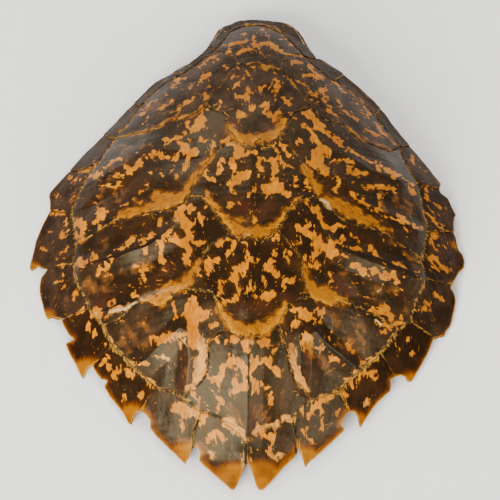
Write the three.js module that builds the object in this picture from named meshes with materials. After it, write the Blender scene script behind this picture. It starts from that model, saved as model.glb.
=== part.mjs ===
// The upper shell (carapace) of a young hawksbill-like sea turtle, laid as it rests: hollow side down,
// head end towards +Y, the turtle's own left at -X. Lengths are in millimetres.
//
// A bony shield, grown as one piece, carries 38 horny plates (scutes) that each stand alone:
// one nuchal, five down the middle (vertebral), four a side (costal), eleven a side round the edge
// (marginal) and a pair over the tail (supracaudal).
import * as THREE from "three";

// ---- Driving sizes ----
const CROWN_HEIGHT = 131; // top of the dome above the table
const CENTRE_Y = 20; // the crown lies a little ahead of the middle of the length
const RIM_RADIUS = [264, 243, 222, 215, 220, 233, 237, 241, 240, 240, 247, 262, 274]; // head to tail, 15 deg steps
const RIM_HEIGHT = [36, 33, 24, 14, 7, 4, 3, 4, 5, 7, 11, 16, 17]; // raised over the neck and the tail
const EDGE_BLEND = 8; // how softly the dome turns into the flared edge
const SCUTE_THICK = 3;
const TIP_THICK = 2.2; // the plates thin out at the rim
const SEAM_GAP = 0.4; // between one plate and the next
const BED_GAP = 1.5; // between the plates and the bone
const BONE_THICK = 5;
const BONE_REACH = 0.9; // the bone stops short of the rim by this share of its radius
const RIB_HEIGHT = 7;
const SPINE_HEIGHT = 7;
const SINK = 1.2; // the rim's lowest edges are worn flat where they rest, by this much
const FOOT_WIDTH = 10; // width of that worn strip
const RAISED_REAR = 1.2; // each plate's free rear edge stands above the next plate
const LATTICE = 21; // spacing of the loose points that bend a plate over the dome

// ---- Seams and edges in plan: head to tail, and from the middle outwards ----
const NUCHAL_RIM = [[-30, 284], [-22, 287], [-10, 287], [4, 287], [18, 288], [33, 289]];
const NUCHAL_REAR = [[-30, 264], [-23, 269], [-15, 273], [-2, 273], [10, 272], [20, 267], [31, 260]];
const MIDLINE_SEAMS = {
  v1_v2: [[-20, 192], [-11, 189], [-3, 191], [5, 192], [9, 183], [15, 180], [22, 186], [30, 184]],
  v2_v3: [[-19, 83], [-13, 76], [-6, 71], [-2, 67], [6, 83], [10, 76], [13, 70], [19, 74], [28, 86]],
  v3_v4: [[-20, -33], [-15, -39], [-9, -42], [-3, -39], [2, -35], [6, -40], [11, -45], [17, -40], [24, -35],
    [29, -28]],
  v4_v5: [[-23, -132], [-18, -138], [-12, -142], [-5, -143], [0, -142], [4, -139], [8, -143], [13, -143],
    [21, -137], [32, -128]],
};
const LEFT = {
  margin: [[-30, 264], [-35, 251], [-41, 238], [-48, 227], [-57, 216], [-67, 207], [-77, 201], [-88, 195],
    [-100, 193], [-111, 189], [-120, 183], [-126, 172], [-131, 164], [-138, 152], [-144, 140],
    [-152, 129], [-158, 118], [-170, 96], [-176, 84], [-184, 73], [-190, 62], [-197, 50], [-204, 29],
    [-198, -1], [-196, -15], [-197, -25], [-199, -36], [-195, -48], [-190, -61], [-175, -91],
    [-169, -99], [-161, -110], [-156, -121], [-150, -131], [-140, -142], [-130, -152], [-119, -162],
    [-101, -180], [-92, -184], [-82, -188], [-74, -192], [-67, -196], [-58, -203], [-50, -210],
    [-39, -213], [-29, -216], [-23, -223], [-15, -227], [-7, -232], [1, -240]],
  v1_c1: [[-48, 227], [-38, 218], [-29, 211], [-24, 202], [-20, 192]],
  v2_c1: [[-20, 192], [-29, 177], [-39, 161], [-48, 148], [-54, 134]],
  v2_c2: [[-54, 134], [-45, 124], [-36, 120], [-29, 113], [-30, 106], [-27, 96], [-19, 83]],
  v3_c2: [[-19, 83], [-31, 75], [-41, 66], [-50, 54], [-58, 42], [-64, 31], [-67, 20], [-68, 11]],
  v3_c3: [[-68, 11], [-60, 12], [-51, 8], [-44, -2], [-36, -11], [-20, -33]],
  v4_c3: [[-20, -33], [-31, -39], [-40, -44], [-48, -52], [-54, -61], [-59, -70], [-62, -79], [-61, -87],
    [-58, -93]],
  v4_c4: [[-58, -93], [-48, -94], [-40, -98], [-35, -106], [-32, -116], [-27, -124], [-23, -132]],
  v5_c4: [[-23, -132], [-31, -137], [-38, -143], [-43, -150], [-42, -157], [-43, -166], [-44, -174],
    [-48, -181], [-55, -185], [-63, -189], [-67, -196]],
  c1_c2: [[-54, 134], [-60, 127], [-68, 121], [-77, 118], [-86, 118], [-95, 116], [-105, 112], [-116, 111],
    [-128, 114], [-139, 116], [-149, 116], [-158, 118]],
  c2_c3: [[-68, 11], [-75, 4], [-83, 1], [-96, -2], [-109, -4], [-123, -4], [-138, -3], [-152, -2],
    [-164, -6], [-176, -11], [-186, -14], [-196, -15]],
  c3_c4: [[-58, -93], [-64, -91], [-74, -90], [-81, -95], [-88, -101], [-99, -104], [-108, -99],
    [-117, -95], [-125, -97], [-132, -102], [-139, -106], [-151, -109], [-161, -110]],
  cross: [
    [[-30, 264], [-30, 284]],
    [[-48, 227], [-55, 246]],
    [[-88, 195], [-95, 210]],
    [[-131, 164], [-140, 180]],
    [[-158, 118], [-166, 128], [-173, 140]],
    [[-176, 84], [-186, 84], [-197, 88], [-206, 92], [-210, 97]],
    [[-204, 29], [-220, 39], [-231, 47]],
    [[-199, -36], [-211, -32], [-224, -28], [-236, -25]],
    [[-175, -91], [-185, -88], [-194, -89], [-202, -90], [-212, -88]],
    [[-150, -131], [-154, -134], [-160, -138], [-166, -141], [-174, -144]],
    [[-101, -180], [-104, -184], [-108, -188], [-112, -194], [-116, -199]],
    [[-50, -210], [-52, -215], [-55, -221], [-58, -228], [-59, -235], [-59, -242]],
    [[1, -240], [1, -258]],
  ],
  rim: [
    [[-30, 284], [-38, 280], [-45, 274], [-49, 263], [-55, 246]],
    [[-55, 246], [-59, 234], [-66, 225], [-76, 217], [-86, 215], [-95, 210]],
    [[-95, 210], [-107, 209], [-116, 207], [-123, 201], [-131, 192], [-140, 180]],
    [[-140, 180], [-147, 173], [-156, 163], [-164, 151], [-173, 140]],
    [[-173, 140], [-182, 130], [-191, 122], [-201, 109], [-210, 97]],
    [[-210, 97], [-215, 92], [-224, 82], [-232, 73], [-234, 68], [-232, 58], [-231, 47]],
    [[-231, 47], [-241, 25], [-246, 10], [-248, -4], [-251, -22], [-249, -26], [-246, -25],
      [-242, -21], [-236, -25]],
    [[-236, -25], [-231, -29], [-237, -36], [-238, -43], [-238, -53], [-232, -75], [-229, -83],
      [-226, -86], [-223, -84], [-212, -88]],
    [[-212, -88], [-207, -98], [-201, -108], [-195, -114], [-205, -116], [-199, -130], [-192, -141],
      [-186, -154], [-183, -157], [-182, -152], [-179, -146], [-174, -144]],
    [[-174, -144], [-169, -152], [-163, -160], [-156, -163], [-159, -169], [-153, -179],
      [-137, -199], [-130, -211], [-127, -212], [-125, -205], [-122, -200], [-116, -199]],
    [[-116, -199], [-111, -204], [-106, -210], [-106, -218], [-98, -228], [-88, -238], [-77, -248],
      [-69, -256], [-66, -258], [-63, -253], [-61, -247], [-59, -242]],
    [[-59, -242], [-53, -242], [-50, -247], [-51, -255], [-43, -263], [-23, -279], [-16, -285],
      [-12, -286], [-9, -282], [-3, -266], [1, -258]],
  ],
};
const RIGHT = {
  margin: [[31, 260], [39, 247], [48, 236], [56, 224], [65, 212], [74, 203], [85, 197], [93, 197],
    [104, 193], [114, 186], [124, 178], [132, 169], [138, 163], [146, 154], [153, 142], [161, 130],
    [167, 120], [171, 104], [176, 88], [183, 75], [189, 67], [191, 52], [193, 39], [196, 24],
    [198, 11], [196, -2], [194, -14], [191, -25], [193, -35], [196, -44], [191, -54], [183, -76],
    [179, -86], [179, -94], [172, -99], [163, -110], [154, -122], [146, -134], [137, -144],
    [126, -153], [115, -163], [107, -173], [100, -181], [78, -191], [68, -196], [51, -213], [40, -217],
    [29, -222], [19, -226], [11, -231], [1, -240]],
  v1_c1: [[56, 224], [48, 222], [38, 214], [33, 203], [30, 184]],
  v2_c1: [[30, 184], [50, 156], [58, 143], [65, 133]],
  v2_c2: [[65, 133], [55, 129], [45, 122], [40, 112], [34, 98], [28, 86]],
  v3_c2: [[28, 86], [39, 76], [47, 67], [54, 57], [61, 45], [66, 34], [70, 24], [73, 15]],
  v3_c3: [[73, 15], [62, 14], [53, 10], [46, 4], [40, -6], [36, -16], [29, -28]],
  v4_c3: [[29, -28], [38, -38], [46, -47], [54, -54], [58, -61], [58, -72], [59, -81], [63, -90],
    [68, -97]],
  v4_c4: [[68, -97], [58, -99], [48, -103], [43, -108], [38, -115], [35, -122], [32, -128]],
  v5_c4: [[32, -128], [36, -136], [39, -144], [43, -153], [47, -171], [51, -179], [57, -184], [62, -186],
    [65, -190], [68, -196]],
  c1_c2: [[65, 133], [79, 121], [87, 120], [96, 123], [104, 119], [111, 112], [119, 105], [129, 103],
    [141, 103], [154, 105], [167, 120]],
  c2_c3: [[73, 15], [81, 6], [90, -2], [101, -7], [115, -8], [128, -9], [142, -11], [154, -12], [164, -17],
    [175, -20], [184, -22], [191, -25]],
  c3_c4: [[68, -97], [74, -100], [83, -100], [91, -102], [99, -96], [110, -95], [123, -97], [135, -99],
    [148, -102], [160, -104], [172, -99]],
  cross: [
    [[31, 260], [33, 289]],
    [[56, 224], [63, 223], [70, 229]],
    [[93, 197], [102, 221]],
    [[138, 163], [146, 184]],
    [[167, 120], [174, 129], [180, 136]],
    [[189, 67], [197, 72], [204, 74], [214, 82]],
    [[198, 11], [214, 20], [230, 28]],
    [[196, -44], [206, -43], [216, -41], [227, -37]],
    [[179, -94], [197, -98], [207, -102]],
    [[146, -134], [158, -146], [164, -151]],
    [[100, -181], [104, -185], [109, -191], [113, -196]],
    [[51, -213], [53, -223], [57, -231], [58, -239]],
    [[1, -240], [1, -258]],
  ],
  rim: [
    [[33, 289], [41, 286], [49, 278], [55, 267], [60, 253], [65, 240], [70, 229]],
    [[70, 229], [75, 232], [84, 229], [102, 221]],
    [[102, 221], [111, 216], [121, 209], [130, 201], [138, 194], [146, 184]],
    [[146, 184], [154, 174], [162, 162], [180, 136]],
    [[180, 136], [191, 123], [201, 111], [210, 98], [216, 90], [214, 82]],
    [[214, 82], [215, 75], [224, 72], [227, 65], [233, 53], [231, 48], [230, 37], [230, 28]],
    [[230, 28], [233, 22], [235, 12], [237, 8], [241, 4], [243, -4], [242, -12], [237, -18],
      [233, -26], [227, -37]],
    [[227, -37], [227, -42], [230, -45], [232, -51], [232, -57], [228, -77], [225, -86], [221, -91],
      [219, -97], [214, -98], [207, -102]],
    [[207, -102], [204, -109], [202, -116], [197, -126], [191, -137], [186, -146], [182, -153],
      [178, -153], [176, -149], [170, -148], [164, -151]],
    [[164, -151], [159, -155], [159, -161], [158, -167], [150, -175], [142, -184], [136, -193],
      [131, -201], [126, -210], [124, -207], [123, -200], [119, -195], [113, -196]],
    [[113, -196], [109, -201], [106, -206], [104, -210], [108, -214], [105, -219], [77, -247],
      [69, -254], [66, -259], [64, -254], [61, -246], [58, -239]],
    [[58, -239], [57, -244], [52, -251], [43, -260], [35, -269], [26, -279], [20, -285], [15, -285],
      [12, -281], [9, -272], [6, -264], [1, -258]],
  ],
};

// ---- Folds that run across the plates: a crest as a line, its height and half width ----
const FOLDS = [
  { line: [[-2, 67], [0, -42]], height: 1, half: 12 },
  { line: [[0, -42], [1, -142]], height: 2, half: 12 },
  { line: [[1, -142], [1, -193], [1, -239]], height: 5, half: 16 },
  { line: [[-78, 74], [-110, 72], [-143, 60], [-172, 48]], height: 2, half: 16 },
  { line: [[78, 66], [103, 58], [131, 40], [160, 32]], height: 2, half: 16 },
  { line: [[-84, -30], [-110, -38], [-143, -44], [-186, -44]], height: 4, half: 16 },
  { line: [[88, -34], [110, -44], [132, -47], [186, -48]], height: 4, half: 16 },
  { line: [[-72, -128], [-96, -143], [-122, -157]], height: 4, half: 14 },
  { line: [[72, -128], [95, -144], [118, -154]], height: 4, half: 14 },
  { line: [[-66, -140], [-63, -162], [-65, -185]], height: 3, half: 10 },
  { line: [[65, -145], [68, -163], [66, -183]], height: 3, half: 10 },
];

// ---- The dome ----
const clamp = THREE.MathUtils.clamp;

// A smooth curve through a list whose entries are evenly spaced from head to tail, mirrored at both ends.
function along(list, share) {
  const last = list.length - 1;
  const place = clamp(share, 0, 1) * last;
  const i = Math.min(Math.floor(place), last - 1);
  const u = place - i;
  const at = (k) => (k > last ? list[2 * last - k] : list[Math.abs(k)]);
  const [a, b, c, d] = [at(i - 1), at(i), at(i + 1), at(i + 2)];
  return b + 0.5 * u * (c - a + u * (2 * a - 5 * b + 4 * c - d + u * (3 * (b - c) + d - a)));
}

// Height of the dome over a place of the plan.
function domeHeight(x, y) {
  const reach = Math.hypot(x, y - CENTRE_Y);
  const ahead = reach > 0 ? (y - CENTRE_Y) / reach : 1;
  const share = Math.acos(clamp(ahead, -1, 1)) / Math.PI;
  const radius = along(RIM_RADIUS, share);
  const rim = along(RIM_HEIGHT, share);
  const rho = reach / radius;
  const power = 2.35 + 0.65 * Math.max(0, ahead);
  const flare = rho < 1 ? 0.25 : 0.12 + (ahead > 0 ? 0.48 : -0.18) * ahead;
  const dome = (CROWN_HEIGHT - rim) * (1 - rho ** power);
  const edge = flare * (1 - rho) * radius;
  return rim + (dome + edge + Math.hypot(dome - edge, EDGE_BLEND)) / 2;
}

// The way out of the dome at a place of the plan.
function domeNormal(x, y) {
  const step = 4;
  const slopeX = (domeHeight(x + step, y) - domeHeight(x - step, y)) / (2 * step);
  const slopeY = (domeHeight(x, y + step) - domeHeight(x, y - step)) / (2 * step);
  return new THREE.Vector3(-slopeX, -slopeY, 1).normalize();
}

// A point off the dome by a distance along its normal.
function offDome([x, y], distance) {
  return domeNormal(x, y).multiplyScalar(distance).add(new THREE.Vector3(x, y, domeHeight(x, y) - SINK));
}

function distanceToLine([x, y], line) {
  let least = Infinity;
  for (let i = 0; i + 1 < line.length; i++) {
    const [ax, ay] = line[i];
    const [bx, by] = line[i + 1];
    const length2 = (bx - ax) ** 2 + (by - ay) ** 2 || 1;
    const t = clamp(((x - ax) * (bx - ax) + (y - ay) * (by - ay)) / length2, 0, 1);
    least = Math.min(least, Math.hypot(x - ax - t * (bx - ax), y - ay - t * (by - ay)));
  }
  return least;
}

function foldHeight(point) {
  let height = 0;
  for (const fold of FOLDS) {
    const near = 1 - distanceToLine(point, fold.line) / fold.half;
    if (near > 0) height += fold.height * near;
  }
  return height;
}

// ---- Flat outlines and their triangles ----
const cross2 = ([ax, ay], [bx, by], [cx, cy]) => (bx - ax) * (cy - ay) - (by - ay) * (cx - ax);

function insideRing([x, y], ring) {
  let inside = false;
  ring.forEach(([ax, ay], i) => {
    const [bx, by] = ring[(i + 1) % ring.length];
    if (ay > y !== by > y && x < ax + ((y - ay) * (bx - ax)) / (by - ay)) inside = !inside;
  });
  return inside;
}

// Joins lines end to end into one closed outline that runs anticlockwise, and pulls it in by half a gap.
function outline(...lines) {
  const ring = [];
  for (const line of lines) {
    const end = ring[ring.length - 1];
    const turned = end && Math.hypot(end[0] - line[0][0], end[1] - line[0][1]) > 0.01;
    ring.push(...(turned ? [...line].reverse() : line).slice(end ? 1 : 0));
  }
  if (Math.hypot(ring[0][0] - ring.at(-1)[0], ring[0][1] - ring.at(-1)[1]) > 0.01) throw new Error("open outline");
  ring.pop();
  const area = ring.reduce((sum, p, i) => sum + cross2([0, 0], p, ring[(i + 1) % ring.length]), 0);
  if (area < 0) ring.reverse();
  return ring.map((p, i) => {
    const before = ring[(i + ring.length - 1) % ring.length];
    const after = ring[(i + 1) % ring.length];
    const u = new THREE.Vector2(p[0] - before[0], p[1] - before[1]).normalize();
    const v = new THREE.Vector2(after[0] - p[0], after[1] - p[1]).normalize();
    const bisector = new THREE.Vector2(-u.y - v.y, u.x + v.x);
    const scale = SEAM_GAP / Math.max(bisector.lengthSq(), 0.3);
    return [p[0] + bisector.x * scale, p[1] + bisector.y * scale];
  });
}

// Triangles of a ring with loose points inside, turned pair by pair until none is needlessly thin.
function triangulate(ring, loose) {
  const points = [...ring, ...loose];
  const flat = ring.map(([x, y]) => new THREE.Vector2(x, y));
  const triangles = THREE.ShapeUtils.triangulateShape(flat, []).map((t) => [...t]);
  if (triangles.length !== ring.length - 2) throw new Error("an outline has a point on a straight line");
  for (let k = ring.length; k < points.length; k++) {
    const at = triangles.findIndex(
      ([a, b, c]) =>
        cross2(points[a], points[b], points[k]) > 0 &&
        cross2(points[b], points[c], points[k]) > 0 &&
        cross2(points[c], points[a], points[k]) > 0,
    );
    if (at < 0) throw new Error("a loose point misses its outline");
    const [a, b, c] = triangles[at];
    triangles.splice(at, 1, [a, b, k], [b, c, k], [c, a, k]);
    turnEdges(points, triangles);
  }
  turnEdges(points, triangles);
  return { points, triangles };
}

// Swaps the shared edge of two triangles wherever the other diagonal makes them fuller.
function turnEdges(points, triangles) {
  let turned = true;
  for (let round = 0; turned && round < 60; round++) {
    turned = false;
    const owners = new Map();
    triangles.forEach((t, i) => t.forEach((a, j) => owners.set(a + "," + t[(j + 1) % 3], [i, t[(j + 2) % 3]])));
    const busy = new Set();
    for (const [key, [i, apex]] of owners) {
      const [a, b] = key.split(",").map(Number);
      const other = owners.get(b + "," + a);
      if (a > b || !other || busy.has(i) || busy.has(other[0])) continue;
      const [j, far] = other;
      const [p, q, r, s] = [points[a], points[b], points[apex], points[far]];
      if (cross2(r, p, s) <= 1e-6 || cross2(s, q, r) <= 1e-6) continue;
      const angle = (o, m, n) =>
        new THREE.Vector2(m[0] - o[0], m[1] - o[1]).normalize().dot(new THREE.Vector2(n[0] - o[0], n[1] - o[1]).normalize());
      if (Math.acos(clamp(angle(r, p, q), -1, 1)) + Math.acos(clamp(angle(s, p, q), -1, 1)) <= Math.PI + 1e-6) continue;
      triangles[i] = [apex, a, far];
      triangles[j] = [far, b, apex];
      busy.add(i);
      busy.add(j);
      turned = true;
    }
  }
}

// Evenly spread points that keep clear of an outline, with the crests of the folds that cross it.
function loosePoints(ring, spacing, clear) {
  const loose = [];
  const take = (point) => {
    const free = loose.every(([x, y]) => Math.hypot(x - point[0], y - point[1]) > 0.45 * spacing);
    if (free && insideRing(point, ring) && distanceToLine(point, [...ring, ring[0]]) > clear) loose.push(point);
  };
  for (const { line, half } of FOLDS) {
    for (let i = 0; i + 1 < line.length; i++) {
      const [ax, ay] = line[i];
      const [bx, by] = line[i + 1];
      const length = Math.hypot(bx - ax, by - ay);
      const steps = Math.max(1, Math.round(length / spacing));
      const side = [(-(by - ay) / length) * half, ((bx - ax) / length) * half];
      for (let k = 0; k <= steps; k++) {
        const p = [ax + ((bx - ax) * k) / steps + 0.03, ay + ((by - ay) * k) / steps + 0.02];
        take(p);
        take([p[0] + side[0], p[1] + side[1]]);
        take([p[0] - side[0], p[1] - side[1]]);
      }
    }
  }
  for (let row = -14; row <= 14; row++) {
    for (let column = -14; column <= 14; column++) {
      const shift = row % 2 ? spacing / 2 : 0;
      take([column * spacing + shift + 0.07, row * spacing * 0.87 + 0.05]);
    }
  }
  return loose;
}

// ---- Solids ----

// A closed plate between two skins that share one set of plan triangles.
function plate(name, { points, triangles }, rim, top, bottom, material) {
  const count = points.length;
  const upper = points.map((p, i) => top(p, i));
  const lower = points.map((p, i) => bottom(p, i));
  const index = [];
  for (const [a, b, c] of triangles) {
    index.push(a, b, c, a + count, c + count, b + count);
  }
  for (let i = 0; i < rim; i++) {
    const j = (i + 1) % rim;
    index.push(i, i + count, j + count, i, j + count, j);
  }
  const geometry = new THREE.BufferGeometry().setFromPoints([...upper, ...lower]);
  geometry.setIndex(index);
  const mesh = new THREE.Mesh(geometry.toNonIndexed(), material.clone());
  mesh.geometry.computeVertexNormals();
  mesh.name = name;
  return mesh;
}

const horn = new THREE.MeshStandardMaterial({ color: 0x3a2415, roughness: 0.25 });
const rimHorn = new THREE.MeshStandardMaterial({ color: 0x5c3a16, roughness: 0.25 });
const bone = new THREE.MeshStandardMaterial({ color: 0xd9cba6, roughness: 0.7 });

// A plate of horn. Its rear edge stands a little proud, and its rim edge, where it has one, is thin.
function scute(name, ring, { rear = [], rim = [], ends = [], foot = false, material = horn } = {}) {
  const clear = foot ? 6 : 9;
  const loose = foot ? footPoints(ring, rim) : [];
  for (const p of loosePoints(ring, foot ? 22 : LATTICE, clear)) {
    if (loose.every(([x, y]) => Math.hypot(x - p[0], y - p[1]) > 9)) loose.push(p);
  }
  const flat = triangulate(ring, loose);
  const atRim = (p) => rim.length > 0 && distanceToLine(p, rim) < 1;
  const top = (p) => {
    const lift = rear.length ? RAISED_REAR * Math.max(0, 1 - distanceToLine(p, rear) / 14) : 0;
    return offDome(p, foldHeight(p) + lift);
  };
  const bottom = (p) => {
    const low = offDome(p, atRim(p) ? -TIP_THICK : -SCUTE_THICK);
    const rests = foot && distanceToLine(p, rim) < FOOT_WIDTH + 1 && ends.every((seam) => distanceToLine(p, seam) > 3);
    low.z = rests ? 0 : Math.max(low.z, 0);
    return low;
  };
  return plate(name, flat, ring.length, top, bottom, material);
}

// Two rows of loose points behind a rim: the inner side of its worn strip, and the foot of the slope above.
function footPoints(ring, rim) {
  const loose = [];
  const path = new THREE.CurvePath();
  for (let i = 0; i + 1 < rim.length; i++) {
    path.add(new THREE.LineCurve(new THREE.Vector2(...rim[i]), new THREE.Vector2(...rim[i + 1])));
  }
  const steps = Math.round(path.getLength() / 14);
  for (let k = 1; k < steps; k++) {
    const p = path.getPointAt(k / steps);
    const t = path.getTangentAt(k / steps);
    for (const away of [-FOOT_WIDTH - 8, -FOOT_WIDTH, FOOT_WIDTH, FOOT_WIDTH + 8]) {
      const q = [p.x - t.y * away, p.y + t.x * away];
      const clear = distanceToLine(q, [...ring, ring[0]]) > 0.7 * FOOT_WIDTH;
      const alone = loose.every(([x, y]) => Math.hypot(x - q[0], y - q[1]) > 7);
      if (insideRing(q, ring) && clear && alone) loose.push(q);
    }
  }
  return loose;
}

// The stretch of a line between two of its points.
function stretch(line, from, to) {
  const at = ([x, y]) => {
    const i = line.findIndex((p) => p[0] === x && p[1] === y);
    if (i < 0) throw new Error("no point " + x + ", " + y + " on the line");
    return i;
  };
  return line.slice(at(from), at(to) + 1);
}

const MIDDLE = new THREE.Vector3(-4, 1.5, 0); // of the outline's box in plan, which becomes the part's origin

const shell = new THREE.Group();
shell.name = "sea_turtle_carapace";

function add(...meshes) {
  for (const mesh of meshes) mesh.position.sub(MIDDLE);
  shell.add(...meshes);
}


// ---- Plates down the middle ----
const { v1_v2, v2_v3, v3_v4, v4_v5 } = MIDLINE_SEAMS;
const part = (side, from, to) => stretch(side.margin, from, to);
const head = (line) => line[0];
const end = (line) => line[line.length - 1];

const nuchal = outline(NUCHAL_REAR, RIGHT.cross[0], NUCHAL_RIM, LEFT.cross[0]);
add(scute("nuchal_scute", nuchal, { rim: NUCHAL_RIM, material: rimHorn }));

add(
  scute(
    "vertebral_scute_1",
    outline(
      NUCHAL_REAR,
      part(RIGHT, head(RIGHT.margin), head(RIGHT.v1_c1)),
      RIGHT.v1_c1,
      v1_v2,
      LEFT.v1_c1,
      part(LEFT, head(LEFT.margin), head(LEFT.v1_c1)),
    ),
    { rear: v1_v2 },
  ),
  scute(
    "vertebral_scute_2",
    outline(v1_v2, RIGHT.v2_c1, RIGHT.v2_c2, v2_v3, LEFT.v2_c2, LEFT.v2_c1),
    { rear: [...LEFT.v2_c2, ...v2_v3, ...[...RIGHT.v2_c2].reverse()] },
  ),
  scute(
    "vertebral_scute_3",
    outline(v2_v3, RIGHT.v3_c2, RIGHT.v3_c3, v3_v4, LEFT.v3_c3, LEFT.v3_c2),
    { rear: [...LEFT.v3_c3, ...v3_v4, ...[...RIGHT.v3_c3].reverse()] },
  ),
  scute(
    "vertebral_scute_4",
    outline(v3_v4, RIGHT.v4_c3, RIGHT.v4_c4, v4_v5, LEFT.v4_c4, LEFT.v4_c3),
    { rear: [...LEFT.v4_c4, ...v4_v5, ...[...RIGHT.v4_c4].reverse()] },
  ),
  scute(
    "vertebral_scute_5",
    outline(
      v4_v5,
      RIGHT.v5_c4,
      part(RIGHT, end(RIGHT.v5_c4), end(RIGHT.margin)),
      part(LEFT, end(LEFT.v5_c4), end(LEFT.margin)),
      LEFT.v5_c4,
    ),
    { rear: part(RIGHT, end(RIGHT.v5_c4), end(RIGHT.margin)) },
  ),
);

// ---- Plates of each flank and of the edge ----
for (const [word, side] of [["left", LEFT], ["right", RIGHT]]) {
  add(
    scute(
      "costal_scute_" + word + "_1",
      outline(side.v1_c1, side.v2_c1, side.c1_c2, part(side, head(side.v1_c1), end(side.c1_c2))),
      { rear: side.c1_c2 },
    ),
    scute(
      "costal_scute_" + word + "_2",
      outline(side.v2_c2, side.v3_c2, side.c2_c3, part(side, end(side.c1_c2), end(side.c2_c3)), side.c1_c2),
      { rear: side.c2_c3 },
    ),
    scute(
      "costal_scute_" + word + "_3",
      outline(side.v3_c3, side.v4_c3, side.c3_c4, part(side, end(side.c2_c3), end(side.c3_c4)), side.c2_c3),
      { rear: side.c3_c4 },
    ),
    scute(
      "costal_scute_" + word + "_4",
      outline(side.v4_c4, side.v5_c4, part(side, end(side.c3_c4), end(side.v5_c4)), side.c3_c4),
      { rear: side.v5_c4 },
    ),
  );
  for (let i = 1; i <= 12; i++) {
    const before = side.cross[i - 1];
    const after = side.cross[i];
    const rim = side.rim[i - 1];
    const ring = outline(part(side, head(before), head(after)), after, rim, before);
    const name = i < 12 ? "marginal_scute_" + word + "_" + i : "supracaudal_scute_" + word;
    const foot = i >= 6 && i <= 8;
    add(scute(name, ring, { rear: after, rim, ends: [before, after], foot, material: rimHorn }));
  }
}

// ---- The bony shield: a shallow bowl with a spine, eight pairs of ribs and a thicker edge ----
const RIB_PAIRS = 8;
const RIB_FRONT = 178; // where the first and the last rib leave the spine
const RIB_REAR = -176;
const RIB_SWEEP = 0.1; // the middle ribs run straight out, the end ones fan forward and back
const SPINE_HALF = 9;

const ribRoot = (rib) => RIB_FRONT + ((RIB_REAR - RIB_FRONT) * rib) / (RIB_PAIRS - 1);
const ribY = (rib, x) => ribRoot(rib) + (ribRoot(rib) - CENTRE_Y) * RIB_SWEEP * (Math.abs(x) / 100);

function boneReach(angle) {
  return BONE_REACH * along(RIM_RADIUS, Math.abs(angle) / Math.PI);
}

function boneRing() {
  const ring = [];
  for (let k = 0; k < 56; k++) {
    const angle = (2 * Math.PI * (k + 0.5)) / 56 - Math.PI;
    ring.push([-Math.sin(angle) * boneReach(angle), CENTRE_Y + Math.cos(angle) * boneReach(angle)]);
  }
  return ring;
}

function bonyShield() {
  const ring = boneRing();
  const height = new Map();
  const loose = [];
  const closed = [...ring, ring[0]];
  const take = (point, ridge, clear) => {
    const alone = loose.every(([x, y]) => Math.hypot(x - point[0], y - point[1]) > 7.5);
    if (!alone || !insideRing(point, ring) || distanceToLine(point, closed) < clear) return;
    loose.push(point);
    height.set(point, ridge);
  };
  for (let y = 240; y > -240; y -= 24) {
    take([0.02, y], SPINE_HEIGHT, 8);
    take([-SPINE_HALF, y + 0.01], 0, 8);
    take([SPINE_HALF, y], 0, 8);
  }
  for (let rib = 0; rib < RIB_PAIRS; rib++) {
    for (const side of [-1, 1]) {
      for (let reach = 24; reach < 240; reach += 28) {
        const x = side * reach + 0.01 * rib;
        take([x, ribY(rib, x)], RIB_HEIGHT * (1 - reach / 320), 10);
        take([x, ribY(rib, x) + 11], 0, 10);
        take([x, ribY(rib, x) - 11], 0, 10);
      }
    }
  }
  const flat = triangulate(ring, loose);
  const upper = -SCUTE_THICK - BED_GAP;
  const top = (p) => offDome(p, upper);
  const bottom = (p) => {
    const atEdge = distanceToLine(p, closed) < 0.1;
    return offDome(p, upper - BONE_THICK - (atEdge ? 0 : height.get(p) || 0));
  };
  return plate("bony_carapace", flat, ring.length, top, bottom, bone);
}

add(bonyShield());

export default shell;
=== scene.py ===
# %% [markdown]
# # The upper shell of a hawksbill sea turtle
# On the real animal this shell is two things in one: a bony shield, grown as one piece with the ribs and
# the backbone, and 38 plates of horn, called scutes, that lie on it like roof slates. The bone was modelled
# in CAD together with simple plates. Here every plate is built again, finer, over the same dome, and gets
# the amber and brown that made tortoiseshell famous. All lengths in the text are millimetres. Blender wants
# metres, so one factor, MM, stands between the two.

# %% The packed model and its box
import math

import bpy
import numpy as np
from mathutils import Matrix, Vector, geometry


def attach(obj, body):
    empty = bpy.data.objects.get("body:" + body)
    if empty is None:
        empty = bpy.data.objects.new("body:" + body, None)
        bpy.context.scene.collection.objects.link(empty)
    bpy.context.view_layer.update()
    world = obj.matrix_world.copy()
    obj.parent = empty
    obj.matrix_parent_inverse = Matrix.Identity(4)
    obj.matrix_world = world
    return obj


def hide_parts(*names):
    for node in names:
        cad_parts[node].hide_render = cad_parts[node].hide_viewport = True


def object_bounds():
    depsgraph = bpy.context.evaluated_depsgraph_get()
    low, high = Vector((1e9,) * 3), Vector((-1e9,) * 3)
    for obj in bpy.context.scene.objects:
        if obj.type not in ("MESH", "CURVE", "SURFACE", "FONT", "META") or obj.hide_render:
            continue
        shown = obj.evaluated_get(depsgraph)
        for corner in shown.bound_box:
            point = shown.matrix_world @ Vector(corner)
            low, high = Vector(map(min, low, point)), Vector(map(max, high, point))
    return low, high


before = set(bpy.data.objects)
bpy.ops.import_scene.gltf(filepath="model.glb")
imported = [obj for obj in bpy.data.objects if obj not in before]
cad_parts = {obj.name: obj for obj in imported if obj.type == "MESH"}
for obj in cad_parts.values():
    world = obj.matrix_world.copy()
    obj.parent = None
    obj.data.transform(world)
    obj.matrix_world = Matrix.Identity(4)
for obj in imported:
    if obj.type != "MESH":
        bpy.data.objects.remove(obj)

MM = 0.001
cad_low, cad_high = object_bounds()
print("the packed shell measures", [round(v / MM, 1) for v in cad_high - cad_low], "mm")

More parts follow.
